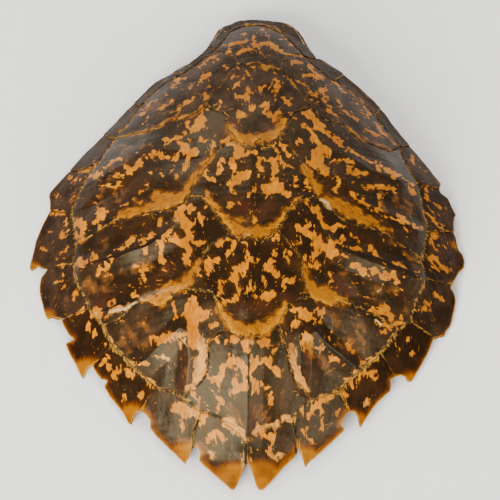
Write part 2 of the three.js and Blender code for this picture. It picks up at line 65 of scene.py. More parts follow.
# %% [markdown]
# ## The dome
# A shell like this is too irregular for a primitive and too regular for sculpting by hand. A height
# function suits it: for any place in plan it answers how high the dome stands there. It needs only two short
# lists, the reach of the edge and its height every 15 degrees from head to tail, and a rule for the swell
# in between. The same function shaped the solids, so what is built on it here lands where they are.

# %% Sizes of the dome
CROWN_HEIGHT = 131
CENTRE_Y = 20
RIM_RADIUS = [264, 243, 222, 215, 220, 233, 237, 241, 240, 240, 247, 262, 274]
RIM_HEIGHT = [36, 33, 24, 14, 7, 4, 3, 4, 5, 7, 11, 16, 17]
SWELL_POWER, HEAD_POWER = 2.35, 0.65    # how full the dome is, and how much fuller towards the head
FLARE = 0.25                            # slope of the skirt inside the edge
OUTER_FLARE, HEAD_FLARE, TAIL_FLARE = 0.12, 0.48, -0.18     # and outside it, all round and to the ends
EDGE_BLEND = 8
SINK = 1.2          # the lowest edges are worn flat where they rest
SCUTE_THICK = 3
TIP_THICK = 2.2     # the plates thin out at the rim
MIDDLE = np.array([-4.0, 1.5, 0.0])     # middle of the plan outline, which is the part's origin
print("the edge is", min(RIM_RADIUS), "to", max(RIM_RADIUS), "mm from the centre, and", min(RIM_HEIGHT),
      "to", max(RIM_HEIGHT), "mm high")


# %% Height and slope of the dome
def along(values, share):
    """A smooth curve through evenly spaced values from head to tail, mirrored at both ends."""
    last = len(values) - 1
    table = np.array([values[1]] + list(values) + [values[last - 1]], float)
    place = np.clip(share, 0, 1) * last
    i = np.minimum(place.astype(int), last - 1)
    u = place - i
    a, b, c, d = (table[i + k] for k in range(4))
    return b + 0.5 * u * (c - a + u * (2 * a - 5 * b + 4 * c - d + u * (3 * (b - c) + d - a)))


def dome_height(x, y):
    reach = np.hypot(x, y - CENTRE_Y)
    ahead = (y - CENTRE_Y) / np.maximum(reach, 1e-6)
    share = np.arccos(np.clip(ahead, -1, 1)) / math.pi
    radius, rim = along(RIM_RADIUS, share), along(RIM_HEIGHT, share)
    rho = reach / radius
    power = SWELL_POWER + HEAD_POWER * np.maximum(0, ahead)
    flare = np.where(rho < 1, FLARE, OUTER_FLARE + np.where(ahead > 0, HEAD_FLARE, TAIL_FLARE) * ahead)
    swell = (CROWN_HEIGHT - rim) * (1 - rho ** power)
    edge = flare * (1 - rho) * radius
    return rim + (swell + edge + np.hypot(swell - edge, EDGE_BLEND)) / 2


def dome_normal(x, y, step=4):
    slope_x = (dome_height(x + step, y) - dome_height(x - step, y)) / (2 * step)
    slope_y = (dome_height(x, y + step) - dome_height(x, y - step)) / (2 * step)
    normal = np.stack([-slope_x, -slope_y, np.ones_like(slope_x)], 1)
    return normal / np.linalg.norm(normal, axis=1, keepdims=True)


def off_dome(plan, height):
    """Points at a distance along the dome's own normal, in the part's frame."""
    x, y = plan[:, 0], plan[:, 1]
    foot = np.stack([x, y, dome_height(x, y) - SINK], 1)
    return foot + dome_normal(x, y) * np.asarray(height)[:, None] - MIDDLE


print("crown at", round(float(dome_height(np.zeros(1), np.full(1, CENTRE_Y))[0]), 1), "mm")

# %% [markdown]
# ## The seams
# The plates meet in seams that are never straight. Each seam is written once, as the few points where it
# turns, from head to tail and from the middle outwards, and both neighbours are cut along that same line.
# That is how a joiner scribes two boards at once, and it leaves no gaps and no overlaps to repair later.

# %% The seams in plan
NUCHAL_RIM = [[-30, 284], [-22, 287], [-10, 287], [4, 287], [18, 288], [33, 289]]
NUCHAL_REAR = [[-30, 264], [-23, 269], [-15, 273], [-2, 273], [10, 272], [20, 267], [31, 260]]
MIDLINE_SEAMS = {
    "v1_v2": [[-20, 192], [-11, 189], [-3, 191], [5, 192], [9, 183], [15, 180], [22, 186], [30, 184]],
    "v2_v3": [[-19, 83], [-13, 76], [-6, 71], [-2, 67], [6, 83], [10, 76], [13, 70], [19, 74], [28, 86]],
    "v3_v4": [[-20, -33], [-15, -39], [-9, -42], [-3, -39], [2, -35], [6, -40], [11, -45], [17, -40],
        [24, -35],
        [29, -28]],
    "v4_v5": [[-23, -132], [-18, -138], [-12, -142], [-5, -143], [0, -142], [4, -139], [8, -143], [13, -143],
        [21, -137], [32, -128]],
}
print(len(MIDLINE_SEAMS), "seams cross the midline")

# %% Seams of the turtle's left flank
LEFT = {
    "margin": [[-30, 264], [-35, 251], [-41, 238], [-48, 227], [-57, 216], [-67, 207], [-77, 201],
        [-88, 195],
        [-100, 193], [-111, 189], [-120, 183], [-126, 172], [-131, 164], [-138, 152], [-144, 140],
        [-152, 129], [-158, 118], [-170, 96], [-176, 84], [-184, 73], [-190, 62], [-197, 50], [-204, 29],
        [-198, -1], [-196, -15], [-197, -25], [-199, -36], [-195, -48], [-190, -61], [-175, -91],
        [-169, -99], [-161, -110], [-156, -121], [-150, -131], [-140, -142], [-130, -152], [-119, -162],
        [-101, -180], [-92, -184], [-82, -188], [-74, -192], [-67, -196], [-58, -203], [-50, -210],
        [-39, -213], [-29, -216], [-23, -223], [-15, -227], [-7, -232], [1, -240]],
    "v1_c1": [[-48, 227], [-38, 218], [-29, 211], [-24, 202], [-20, 192]],
    "v2_c1": [[-20, 192], [-29, 177], [-39, 161], [-48, 148], [-54, 134]],
    "v2_c2": [[-54, 134], [-45, 124], [-36, 120], [-29, 113], [-30, 106], [-27, 96], [-19, 83]],
    "v3_c2": [[-19, 83], [-31, 75], [-41, 66], [-50, 54], [-58, 42], [-64, 31], [-67, 20], [-68, 11]],
    "v3_c3": [[-68, 11], [-60, 12], [-51, 8], [-44, -2], [-36, -11], [-20, -33]],
    "v4_c3": [[-20, -33], [-31, -39], [-40, -44], [-48, -52], [-54, -61], [-59, -70], [-62, -79], [-61, -87],
        [-58, -93]],
    "v4_c4": [[-58, -93], [-48, -94], [-40, -98], [-35, -106], [-32, -116], [-27, -124], [-23, -132]],
    "v5_c4": [[-23, -132], [-31, -137], [-38, -143], [-43, -150], [-42, -157], [-43, -166], [-44, -174],
        [-48, -181], [-55, -185], [-63, -189], [-67, -196]],
    "c1_c2": [[-54, 134], [-60, 127], [-68, 121], [-77, 118], [-86, 118], [-95, 116], [-105, 112],
        [-116, 111],
        [-128, 114], [-139, 116], [-149, 116], [-158, 118]],
    "c2_c3": [[-68, 11], [-75, 4], [-83, 1], [-96, -2], [-109, -4], [-123, -4], [-138, -3], [-152, -2],
        [-164, -6], [-176, -11], [-186, -14], [-196, -15]],
    "c3_c4": [[-58, -93], [-64, -91], [-74, -90], [-81, -95], [-88, -101], [-99, -104], [-108, -99],
        [-117, -95], [-125, -97], [-132, -102], [-139, -106], [-151, -109], [-161, -110]],
    "cross": [
        [[-30, 264], [-30, 284]],
        [[-48, 227], [-55, 246]],
        [[-88, 195], [-95, 210]],
        [[-131, 164], [-140, 180]],
        [[-158, 118], [-166, 128], [-173, 140]],
        [[-176, 84], [-186, 84], [-197, 88], [-206, 92], [-210, 97]],
        [[-204, 29], [-220, 39], [-231, 47]],
        [[-199, -36], [-211, -32], [-224, -28], [-236, -25]],
        [[-175, -91], [-185, -88], [-194, -89], [-202, -90], [-212, -88]],
        [[-150, -131], [-154, -134], [-160, -138], [-166, -141], [-174, -144]],
        [[-101, -180], [-104, -184], [-108, -188], [-112, -194], [-116, -199]],
        [[-50, -210], [-52, -215], [-55, -221], [-58, -228], [-59, -235], [-59, -242]],
        [[1, -240], [1, -258]],
    ],
    "rim": [
        [[-30, 284], [-38, 280], [-45, 274], [-49, 263], [-55, 246]],
        [[-55, 246], [-59, 234], [-66, 225], [-76, 217], [-86, 215], [-95, 210]],
        [[-95, 210], [-107, 209], [-116, 207], [-123, 201], [-131, 192], [-140, 180]],
        [[-140, 180], [-147, 173], [-156, 163], [-164, 151], [-173, 140]],
        [[-173, 140], [-182, 130], [-191, 122], [-201, 109], [-210, 97]],
        [[-210, 97], [-215, 92], [-224, 82], [-232, 73], [-234, 68], [-232, 58], [-231, 47]],
        [[-231, 47], [-241, 25], [-246, 10], [-248, -4], [-251, -22], [-249, -26], [-246, -25],
        [-242, -21], [-236, -25]],
        [[-236, -25], [-231, -29], [-237, -36], [-238, -43], [-238, -53], [-232, -75], [-229, -83],
        [-226, -86], [-223, -84], [-212, -88]],
        [[-212, -88], [-207, -98], [-201, -108], [-195, -114], [-205, -116], [-199, -130], [-192, -141],
        [-186, -154], [-183, -157], [-182, -152], [-179, -146], [-174, -144]],
        [[-174, -144], [-169, -152], [-163, -160], [-156, -163], [-159, -169], [-153, -179],
        [-137, -199], [-130, -211], [-127, -212], [-125, -205], [-122, -200], [-116, -199]],
        [[-116, -199], [-111, -204], [-106, -210], [-106, -218], [-98, -228], [-88, -238], [-77, -248],
        [-69, -256], [-66, -258], [-63, -253], [-61, -247], [-59, -242]],
        [[-59, -242], [-53, -242], [-50, -247], [-51, -255], [-43, -263], [-23, -279], [-16, -285],
        [-12, -286], [-9, -282], [-3, -266], [1, -258]],
    ],
}
print(len(LEFT["cross"]), "short seams run out to the left edge")

# %% Seams of the right flank
RIGHT = {
    "margin": [[31, 260], [39, 247], [48, 236], [56, 224], [65, 212], [74, 203], [85, 197], [93, 197],
        [104, 193], [114, 186], [124, 178], [132, 169], [138, 163], [146, 154], [153, 142], [161, 130],
        [167, 120], [171, 104], [176, 88], [183, 75], [189, 67], [191, 52], [193, 39], [196, 24],
        [198, 11], [196, -2], [194, -14], [191, -25], [193, -35], [196, -44], [191, -54], [183, -76],
        [179, -86], [179, -94], [172, -99], [163, -110], [154, -122], [146, -134], [137, -144],
        [126, -153], [115, -163], [107, -173], [100, -181], [78, -191], [68, -196], [51, -213], [40, -217],
        [29, -222], [19, -226], [11, -231], [1, -240]],
    "v1_c1": [[56, 224], [48, 222], [38, 214], [33, 203], [30, 184]],
    "v2_c1": [[30, 184], [50, 156], [58, 143], [65, 133]],
    "v2_c2": [[65, 133], [55, 129], [45, 122], [40, 112], [34, 98], [28, 86]],
    "v3_c2": [[28, 86], [39, 76], [47, 67], [54, 57], [61, 45], [66, 34], [70, 24], [73, 15]],
    "v3_c3": [[73, 15], [62, 14], [53, 10], [46, 4], [40, -6], [36, -16], [29, -28]],
    "v4_c3": [[29, -28], [38, -38], [46, -47], [54, -54], [58, -61], [58, -72], [59, -81], [63, -90],
        [68, -97]],
    "v4_c4": [[68, -97], [58, -99], [48, -103], [43, -108], [38, -115], [35, -122], [32, -128]],
    "v5_c4": [[32, -128], [36, -136], [39, -144], [43, -153], [47, -171], [51, -179], [57, -184], [62, -186],
        [65, -190], [68, -196]],
    "c1_c2": [[65, 133], [79, 121], [87, 120], [96, 123], [104, 119], [111, 112], [119, 105], [129, 103],
        [141, 103], [154, 105], [167, 120]],
    "c2_c3": [[73, 15], [81, 6], [90, -2], [101, -7], [115, -8], [128, -9], [142, -11], [154, -12],
        [164, -17],
        [175, -20], [184, -22], [191, -25]],
    "c3_c4": [[68, -97], [74, -100], [83, -100], [91, -102], [99, -96], [110, -95], [123, -97], [135, -99],
        [148, -102], [160, -104], [172, -99]],
    "cross": [
        [[31, 260], [33, 289]],
        [[56, 224], [63, 223], [70, 229]],
        [[93, 197], [102, 221]],
        [[138, 163], [146, 184]],
        [[167, 120], [174, 129], [180, 136]],
        [[189, 67], [197, 72], [204, 74], [214, 82]],
        [[198, 11], [214, 20], [230, 28]],
        [[196, -44], [206, -43], [216, -41], [227, -37]],
        [[179, -94], [197, -98], [207, -102]],
        [[146, -134], [158, -146], [164, -151]],
        [[100, -181], [104, -185], [109, -191], [113, -196]],
        [[51, -213], [53, -223], [57, -231], [58, -239]],
        [[1, -240], [1, -258]],
    ],
    "rim": [
        [[33, 289], [41, 286], [49, 278], [55, 267], [60, 253], [65, 240], [70, 229]],
        [[70, 229], [75, 232], [84, 229], [102, 221]],
        [[102, 221], [111, 216], [121, 209], [130, 201], [138, 194], [146, 184]],
        [[146, 184], [154, 174], [162, 162], [180, 136]],
        [[180, 136], [191, 123], [201, 111], [210, 98], [216, 90], [214, 82]],
        [[214, 82], [215, 75], [224, 72], [227, 65], [233, 53], [231, 48], [230, 37], [230, 28]],
        [[230, 28], [233, 22], [235, 12], [237, 8], [241, 4], [243, -4], [242, -12], [237, -18],
        [233, -26], [227, -37]],
        [[227, -37], [227, -42], [230, -45], [232, -51], [232, -57], [228, -77], [225, -86], [221, -91],
        [219, -97], [214, -98], [207, -102]],
        [[207, -102], [204, -109], [202, -116], [197, -126], [191, -137], [186, -146], [182, -153],
        [178, -153], [176, -149], [170, -148], [164, -151]],
        [[164, -151], [159, -155], [159, -161], [158, -167], [150, -175], [142, -184], [136, -193],
        [131, -201], [126, -210], [124, -207], [123, -200], [119, -195], [113, -196]],
        [[113, -196], [109, -201], [106, -206], [104, -210], [108, -214], [105, -219], [77, -247],
        [69, -254], [66, -259], [64, -254], [61, -246], [58, -239]],
        [[58, -239], [57, -244], [52, -251], [43, -260], [35, -269], [26, -279], [20, -285], [15, -285],
        [12, -281], [9, -272], [6, -264], [1, -258]],
    ],
}
print(len(LEFT["margin"]), "points down the left inner margin,", len(RIGHT["margin"]), "down the right")

# %% [markdown]
# ## From a few points to a living line
# Horn doesn't break off in straight bits. A curve through the points, with a step of a millimetre, gives
# the smooth run, and a tiny wander on top gives the frayed look. The wander is a sum of waves that depends
# only on where a point lies. So a corner shared by three plates moves the same way in all three. It dies
# out towards the rim, where the horn is thick and its teeth keep clean sides.

# %% Wander
FRAY = 0.75
CALM_SHARE, CALM_WIDTH = 0.93, 0.06     # share of the way to the edge where the wander dies out
CALM_REST = 0.12                        # what is left of it at the edge


def waves(x, y, length, seed):
    """A smooth, repeatable unevenness between about -1 and 1, with humps as long as `length`."""
    rng = np.random.default_rng(seed)
    total = np.zeros_like(x, float)
    for _ in range(6):
        angle = rng.uniform(0, 2 * math.pi)
        k = 2 * math.pi / (length * rng.uniform(0.7, 1.5))
        total += np.sin(k * (x * math.cos(angle) + y * math.sin(angle)) + rng.uniform(0, 6.28))
    return total / 3.2


def wander(points):
    x, y = points[:, 0], points[:, 1]
    move = [waves(x, y, 10, 11 + k) * FRAY + waves(x, y, 4, 21 + k) * FRAY * 0.85 for k in (0, 1)]
    turn = np.abs(np.arctan2(x, y - CENTRE_Y)) / math.pi
    share = np.hypot(x, y - CENTRE_Y) / along(RIM_RADIUS, turn)
    return points + np.stack(move, 1) * np.clip((CALM_SHARE - share) / CALM_WIDTH, CALM_REST, 1)[:, None]


test = wander(np.zeros((1, 2)))[0]
print("the wander moves the centre by", round(float(np.hypot(*test)), 2), "mm")

# %% Fine seams
STEP = 1.0
RIM_CURVE = 0.35    # the rim's teeth stay straighter than the seams


def fine(line, closed_in=0.5):
    """The line with many more points. closed_in is 0 for straight runs and 1 for a full curve."""
    knots = np.array(line, float)
    ends = [2 * knots[0] - knots[1], *knots, 2 * knots[-1] - knots[-2]]
    out, place = [], [0]
    for i in range(len(knots) - 1):
        a, b, c, d = ends[i], ends[i + 1], ends[i + 2], ends[i + 3]
        count = max(1, round(float(np.linalg.norm(c - b)) / STEP))
        u = (np.arange(count) / count)[:, None]
        curve = b + 0.5 * u * (c - a + u * (2 * a - 5 * b + 4 * c - d + u * (3 * (b - c) + d - a)))
        out.append(curve * closed_in + (b + (c - b) * u) * (1 - closed_in))
        place.append(place[-1] + count)
    return wander(np.vstack([*out, knots[-1:]])), place


class Side:
    """One flank's seams in their fine form, with a way to cut the inner margin at a corner."""

    def __init__(self, lists):
        self.coarse, self.lines = lists, {}
        for name, line in lists.items():
            if name == "rim":
                self.lines[name] = [fine(one, RIM_CURVE)[0] for one in line]
            elif name == "cross":
                self.lines[name] = [fine(one)[0] for one in line]
            else:
                self.lines[name] = fine(line)[0]
        self.margin, self.place = fine(lists["margin"])

    def __getitem__(self, name):
        return self.lines[name]

    def corner(self, name, end=-1):
        """The coarse point at one end of a seam, 0 for its first and -1 for its last."""
        return self.coarse[name][end]

    def part(self, start, end):
        """The inner margin from one of its coarse points to another."""
        first, last = (self.place[self.coarse["margin"].index(point)] for point in (start, end))
        return self.margin[first:last + 1]


left, right = Side(LEFT), Side(RIGHT)
middle = {name: fine(line)[0] for name, line in MIDLINE_SEAMS.items()}
nuchal_rim, nuchal_rear = fine(NUCHAL_RIM, RIM_CURVE)[0], fine(NUCHAL_REAR)[0]
print("the left margin now has", len(left.margin), "points")

# %% [markdown]
# ## One closed outline per plate
# The lines of a plate are chained end to end, each turned round where it runs the wrong way. Half a seam's
# width is then taken off all round, so that a thin dark line stays open between neighbours.

# %% Closing an outline
SEAM_GAP = 0.24


def chain(*lines):
    ring = np.array(lines[0])
    for line in lines[1:]:
        near = np.linalg.norm(line[0] - ring[-1]) < 0.01
        ring = np.vstack([ring, (line if near else line[::-1])[1:]])
    assert np.linalg.norm(ring[0] - ring[-1]) < 0.01, "open outline"
    ring = ring[:-1]
    after = np.roll(ring, -1, 0)
    area = float(np.sum(ring[:, 0] * after[:, 1] - after[:, 0] * ring[:, 1]))
    return ring if area > 0 else ring[::-1]


def pulled_in(ring, distance):
    """Each point moved inwards, square to the line between its two neighbours."""
    run = np.roll(ring, -1, 0) - np.roll(ring, 1, 0)
    run /= np.maximum(np.linalg.norm(run, axis=1, keepdims=True), 1e-6)
    return ring + np.stack([-run[:, 1], run[:, 0]], 1) * distance


square = np.array([(0, 0), (10, 0), (10, 10), (0, 10)], float)
print("a square of 10 mm pulled in by 1 starts at", pulled_in(square, 1)[0].round(2))


# %% Distances in plan
def to_line(points, line, closed=False):
    """For each point, the distance to the line and the nearest place on it."""
    line = np.asarray(line, float)
    if closed:
        line = np.vstack([line, line[:1]])
    best = np.full(len(points), 1e9)
    place = np.zeros((len(points), 2))
    for a, b in zip(line[:-1], line[1:]):
        run = b - a
        t = np.clip((points - a) @ run / max(float(run @ run), 1e-9), 0, 1)
        foot = a + t[:, None] * run
        gap = np.linalg.norm(points - foot, axis=1)
        closer = gap < best
        best = np.where(closer, gap, best)
        place[closer] = foot[closer]
    return best, place


def inside(points, ring):
    x, y = points[:, 0], points[:, 1]
    odd = np.zeros(len(points), bool)
    for (ax, ay), (bx, by) in zip(ring, np.roll(ring, -1, 0)):
        if ay != by:
            odd ^= ((ay > y) != (by > y)) & (x < ax + (y - ay) * (bx - ax) / (by - ay))
    return odd


probe = np.array([(5.0, 4.0)])
gap = to_line(probe, square, True)[0][0]
print("a place in the square is inside:", inside(probe, square)[0], "and", gap, "mm from its side")

# %% [markdown]
# ## The list of plates
# Every plate gets its outline, its free rear edge, its rim edge if it has one, and its growth centre. Horn
# grows from below in sheets, each a little larger than the last. On this animal the oldest spot sits far
# back on each plate, and streaks of colour fan out from there, so the growth centre steers the pattern
# later on. Most plates of a row are outlined by the same rule, so the rules are written once and looped.

# %% Plates down the middle
plates = {}


def plan_plate(name, ring, free, growth, rim=None):
    plates[name] = {"ring": ring, "free": free, "growth": np.array(growth, float), "rim": rim}


plan_plate("nuchal_scute", chain(nuchal_rear, right["cross"][0], nuchal_rim, left["cross"][0]), nuchal_rear,
           (0, 268), nuchal_rim)
shoulders = [side.part(side.corner("margin", 0), side.corner("v1_c1", 0)) for side in (right, left)]
plan_plate("vertebral_scute_1",
           chain(nuchal_rear, shoulders[0], right["v1_c1"], middle["v1_v2"], left["v1_c1"], shoulders[1]),
           middle["v1_v2"], (2, 196))
for n, growth_y in ((2, 86), (3, -22), (4, -126)):
    front, rear = middle[f"v{n - 1}_v{n}"], middle[f"v{n}_v{n + 1}"]
    upper, lower = f"v{n}_c{n - 1}", f"v{n}_c{n}"
    plan_plate(f"vertebral_scute_{n}",
               chain(front, right[upper], right[lower], rear, left[lower], left[upper]),
               np.vstack([left[lower], rear, right[lower][::-1]]), (0, growth_y))
tail_edge = [side.part(side.corner("v5_c4"), side.corner("margin")) for side in (right, left)]
plan_plate("vertebral_scute_5",
           chain(middle["v4_v5"], right["v5_c4"], tail_edge[0], tail_edge[1], left["v5_c4"]),
           np.vstack([tail_edge[0], tail_edge[1][::-1]]), (1, -232))
print(len(plates), "plates down the middle")


# %% Plates of the flanks
def plan_flank(name, side):
    rear_1 = side.part(side.corner("v1_c1", 0), side.corner("c1_c2"))
    plan_plate(name + "1", chain(side["v1_c1"], side["v2_c1"], side["c1_c2"], rear_1), side["c1_c2"],
               side["v2_c1"][-1] * 0.9 + np.array([0, 22]))
    for n in (2, 3):
        front, rear = f"c{n - 1}_c{n}", f"c{n}_c{n + 1}"
        outer = side.part(side.corner(front), side.corner(rear))
        plan_plate(name + str(n), chain(side[f"v{n}_c{n}"], side[f"v{n + 1}_c{n}"], side[rear], outer,
                                        side[front]), side[rear], side[rear][0] + np.array([0, 10]))
    outer = side.part(side.corner("c3_c4"), side.corner("v5_c4"))
    plan_plate(name + "4", chain(side["v4_c4"], side["v5_c4"], outer, side["c3_c4"]), side["v5_c4"],
               side["v5_c4"][-1] + np.array([0, 8]))


def plan_rim(word, side):
    """Eleven marginals and the supracaudal. Each began to grow at its tip, furthest out and back."""
    for i in range(1, 13):
        before, after, rim = side["cross"][i - 1], side["cross"][i], side["rim"][i - 1]
        ends = side.coarse["cross"]
        inner = side.part(ends[i - 1][0], ends[i][0])
        late = rim[len(rim) // 3:]
        tip = late[np.argmax(np.hypot(late[:, 0], late[:, 1] - CENTRE_Y) - 0.5 * late[:, 1])]
        name = f"supracaudal_scute_{word}" if i == 12 else f"marginal_scute_{word}_{i}"
        plan_plate(name, chain(inner, after, rim, before), after, tip, rim)


for word, side in (("left", left), ("right", right)):
    plan_flank(f"costal_scute_{word}_", side)
    plan_rim(word, side)
print(len(plates), "plates in all")


# %% [markdown]
# ## Folds
# Seen from the side the shell isn't one smooth bowl. A keel runs down its back and sharpens towards the
# tail, and each of the rear plates of the flanks is bent along a crest, like a roof. A crest is a line with
# a height, a gentle slope ahead of it and a steeper one behind it. Such low forms could be sculpted or
# painted as a displacement. A rule with a few numbers stays crisp, and it can be changed in one place.

# %% Crests and valleys
FOLDS = [  # crest line, height, width of the slope ahead, width of the slope behind
    ([(-2, 67), (0, -42)], 1.0, 10, 10),
    ([(0, 190), (0, 83)], 0.6, 14, 14),
    ([(0, -42), (1, -142)], 1.8, 11, 11),
    ([(1, -142), (1, -193), (1, -239)], 5.0, 17, 17),
    ([(-74, 60), (-103, 65), (-125, 51), (-141, 39), (-178, 28)], -2.2, 11, 22),
    ([(-80, 84), (-110, 80), (-143, 68), (-172, 56)], 1.6, 24, 12),
    ([(78, 78), (103, 75), (131, 62), (168, 62)], 1.6, 18, 9),
    ([(81, 46), (103, 38), (126, 16), (148, 14), (186, 6)], 2.2, 16, 9),
    ([(-82, -26), (-96, -32), (-110, -38), (-143, -44), (-186, -44)], 4.6, 15, 19),
    ([(88, -34), (102, -42), (132, -47), (163, -48), (186, -48)], 4.6, 15, 19),
    ([(-72, -84), (-108, -87), (-131, -94), (-150, -100)], 1.4, 14, 8),
    ([(-74, -128), (-96, -143), (-107, -150), (-122, -157)], 4.4, 13, 17),
    ([(72, -128), (84, -138), (95, -144), (118, -154)], 4.4, 13, 17),
]
SIDE_FOLDS = [  # the same for crests that run lengthwise: line, height, width inwards, width outwards
    ([(-64, -134), (-63, -162), (-65, -187)], 3.0, 9, 14),
    ([(66, -134), (68, -163), (65, -185)], 3.0, 9, 14),
]
print("the keel on the last plate stands", max(fold[1] for fold in FOLDS), "mm proud")


# %% Height of the folds
def tent(share):
    """1 on a crest, 0 at the foot of its slopes, with a crisp top and a soft foot."""
    near = np.clip(1 - share, 0, 1)
    return 0.3 * near ** 1.7 + 0.7 * near


def fold_height(plan):
    height = np.zeros(len(plan))
    for line, tall, ahead, behind in FOLDS:
        gap, foot = to_line(plan, line)
        width = np.where(plan[:, 1] > foot[:, 1], ahead, behind)
        height += tall * tent(gap / width)
    for line, tall, inwards, outwards in SIDE_FOLDS:
        gap, foot = to_line(plan, line)
        width = np.where(np.abs(plan[:, 0]) < np.abs(foot[:, 0]), inwards, outwards)
        height += tall * tent(gap / width)
    return height


print("on the first flank crest the folds add", fold_height(np.array([(-96.0, -32.0)])).round(1)[0], "mm")

# %% [markdown]
# ## Relief of a plate
# A few tenths of a millimetre decide whether horn looks real under a raking light. The free rear edge stands
# a little proud, the other edges dip under their neighbours, the very edge is rounded, faint growth rings
# repeat the outline, and slow swells keep any highlight from being a perfect band.

# %% Relief
EDGE_LIFT, LIFT_WIDTH = 0.9, 8
EDGE_DIP, DIP_WIDTH = 0.3, 3.5
EDGE_ROUND = 0.25
RING_DEPTH, RING_COUNT = 0.035, 120
SWELLS = [(0.42, 46, 31), (0.16, 17, 32), (0.07, 6.5, 33)]      # height, length and seed of each


def relief(plan, plate, edge, free, shut):
    """Height over the dome of each place of a plate, from its distances to all, free and shut edges."""
    height = fold_height(plan)
    height += EDGE_LIFT * np.exp(-free / LIFT_WIDTH) - EDGE_DIP * np.clip(1 - shut / DIP_WIDTH, 0, 1) ** 2
    height -= EDGE_ROUND * np.clip(1 - edge, 0, 1) ** 2
    reach = np.linalg.norm(plan - plate["growth"], axis=1)
    q = reach / (reach + edge + 1)
    x, y = plan[:, 0], plan[:, 1]
    height += RING_DEPTH * np.sin(q * RING_COUNT + waves(x, y, 40, 5)) * np.clip(q * 2 - 0.8, 0, 1)
    for tall, length, seed in SWELLS:
        height += tall * waves(x, y, length, seed)
    return height


print("the swells reach", round(sum(swell[0] for swell in SWELLS), 2), "mm either way")
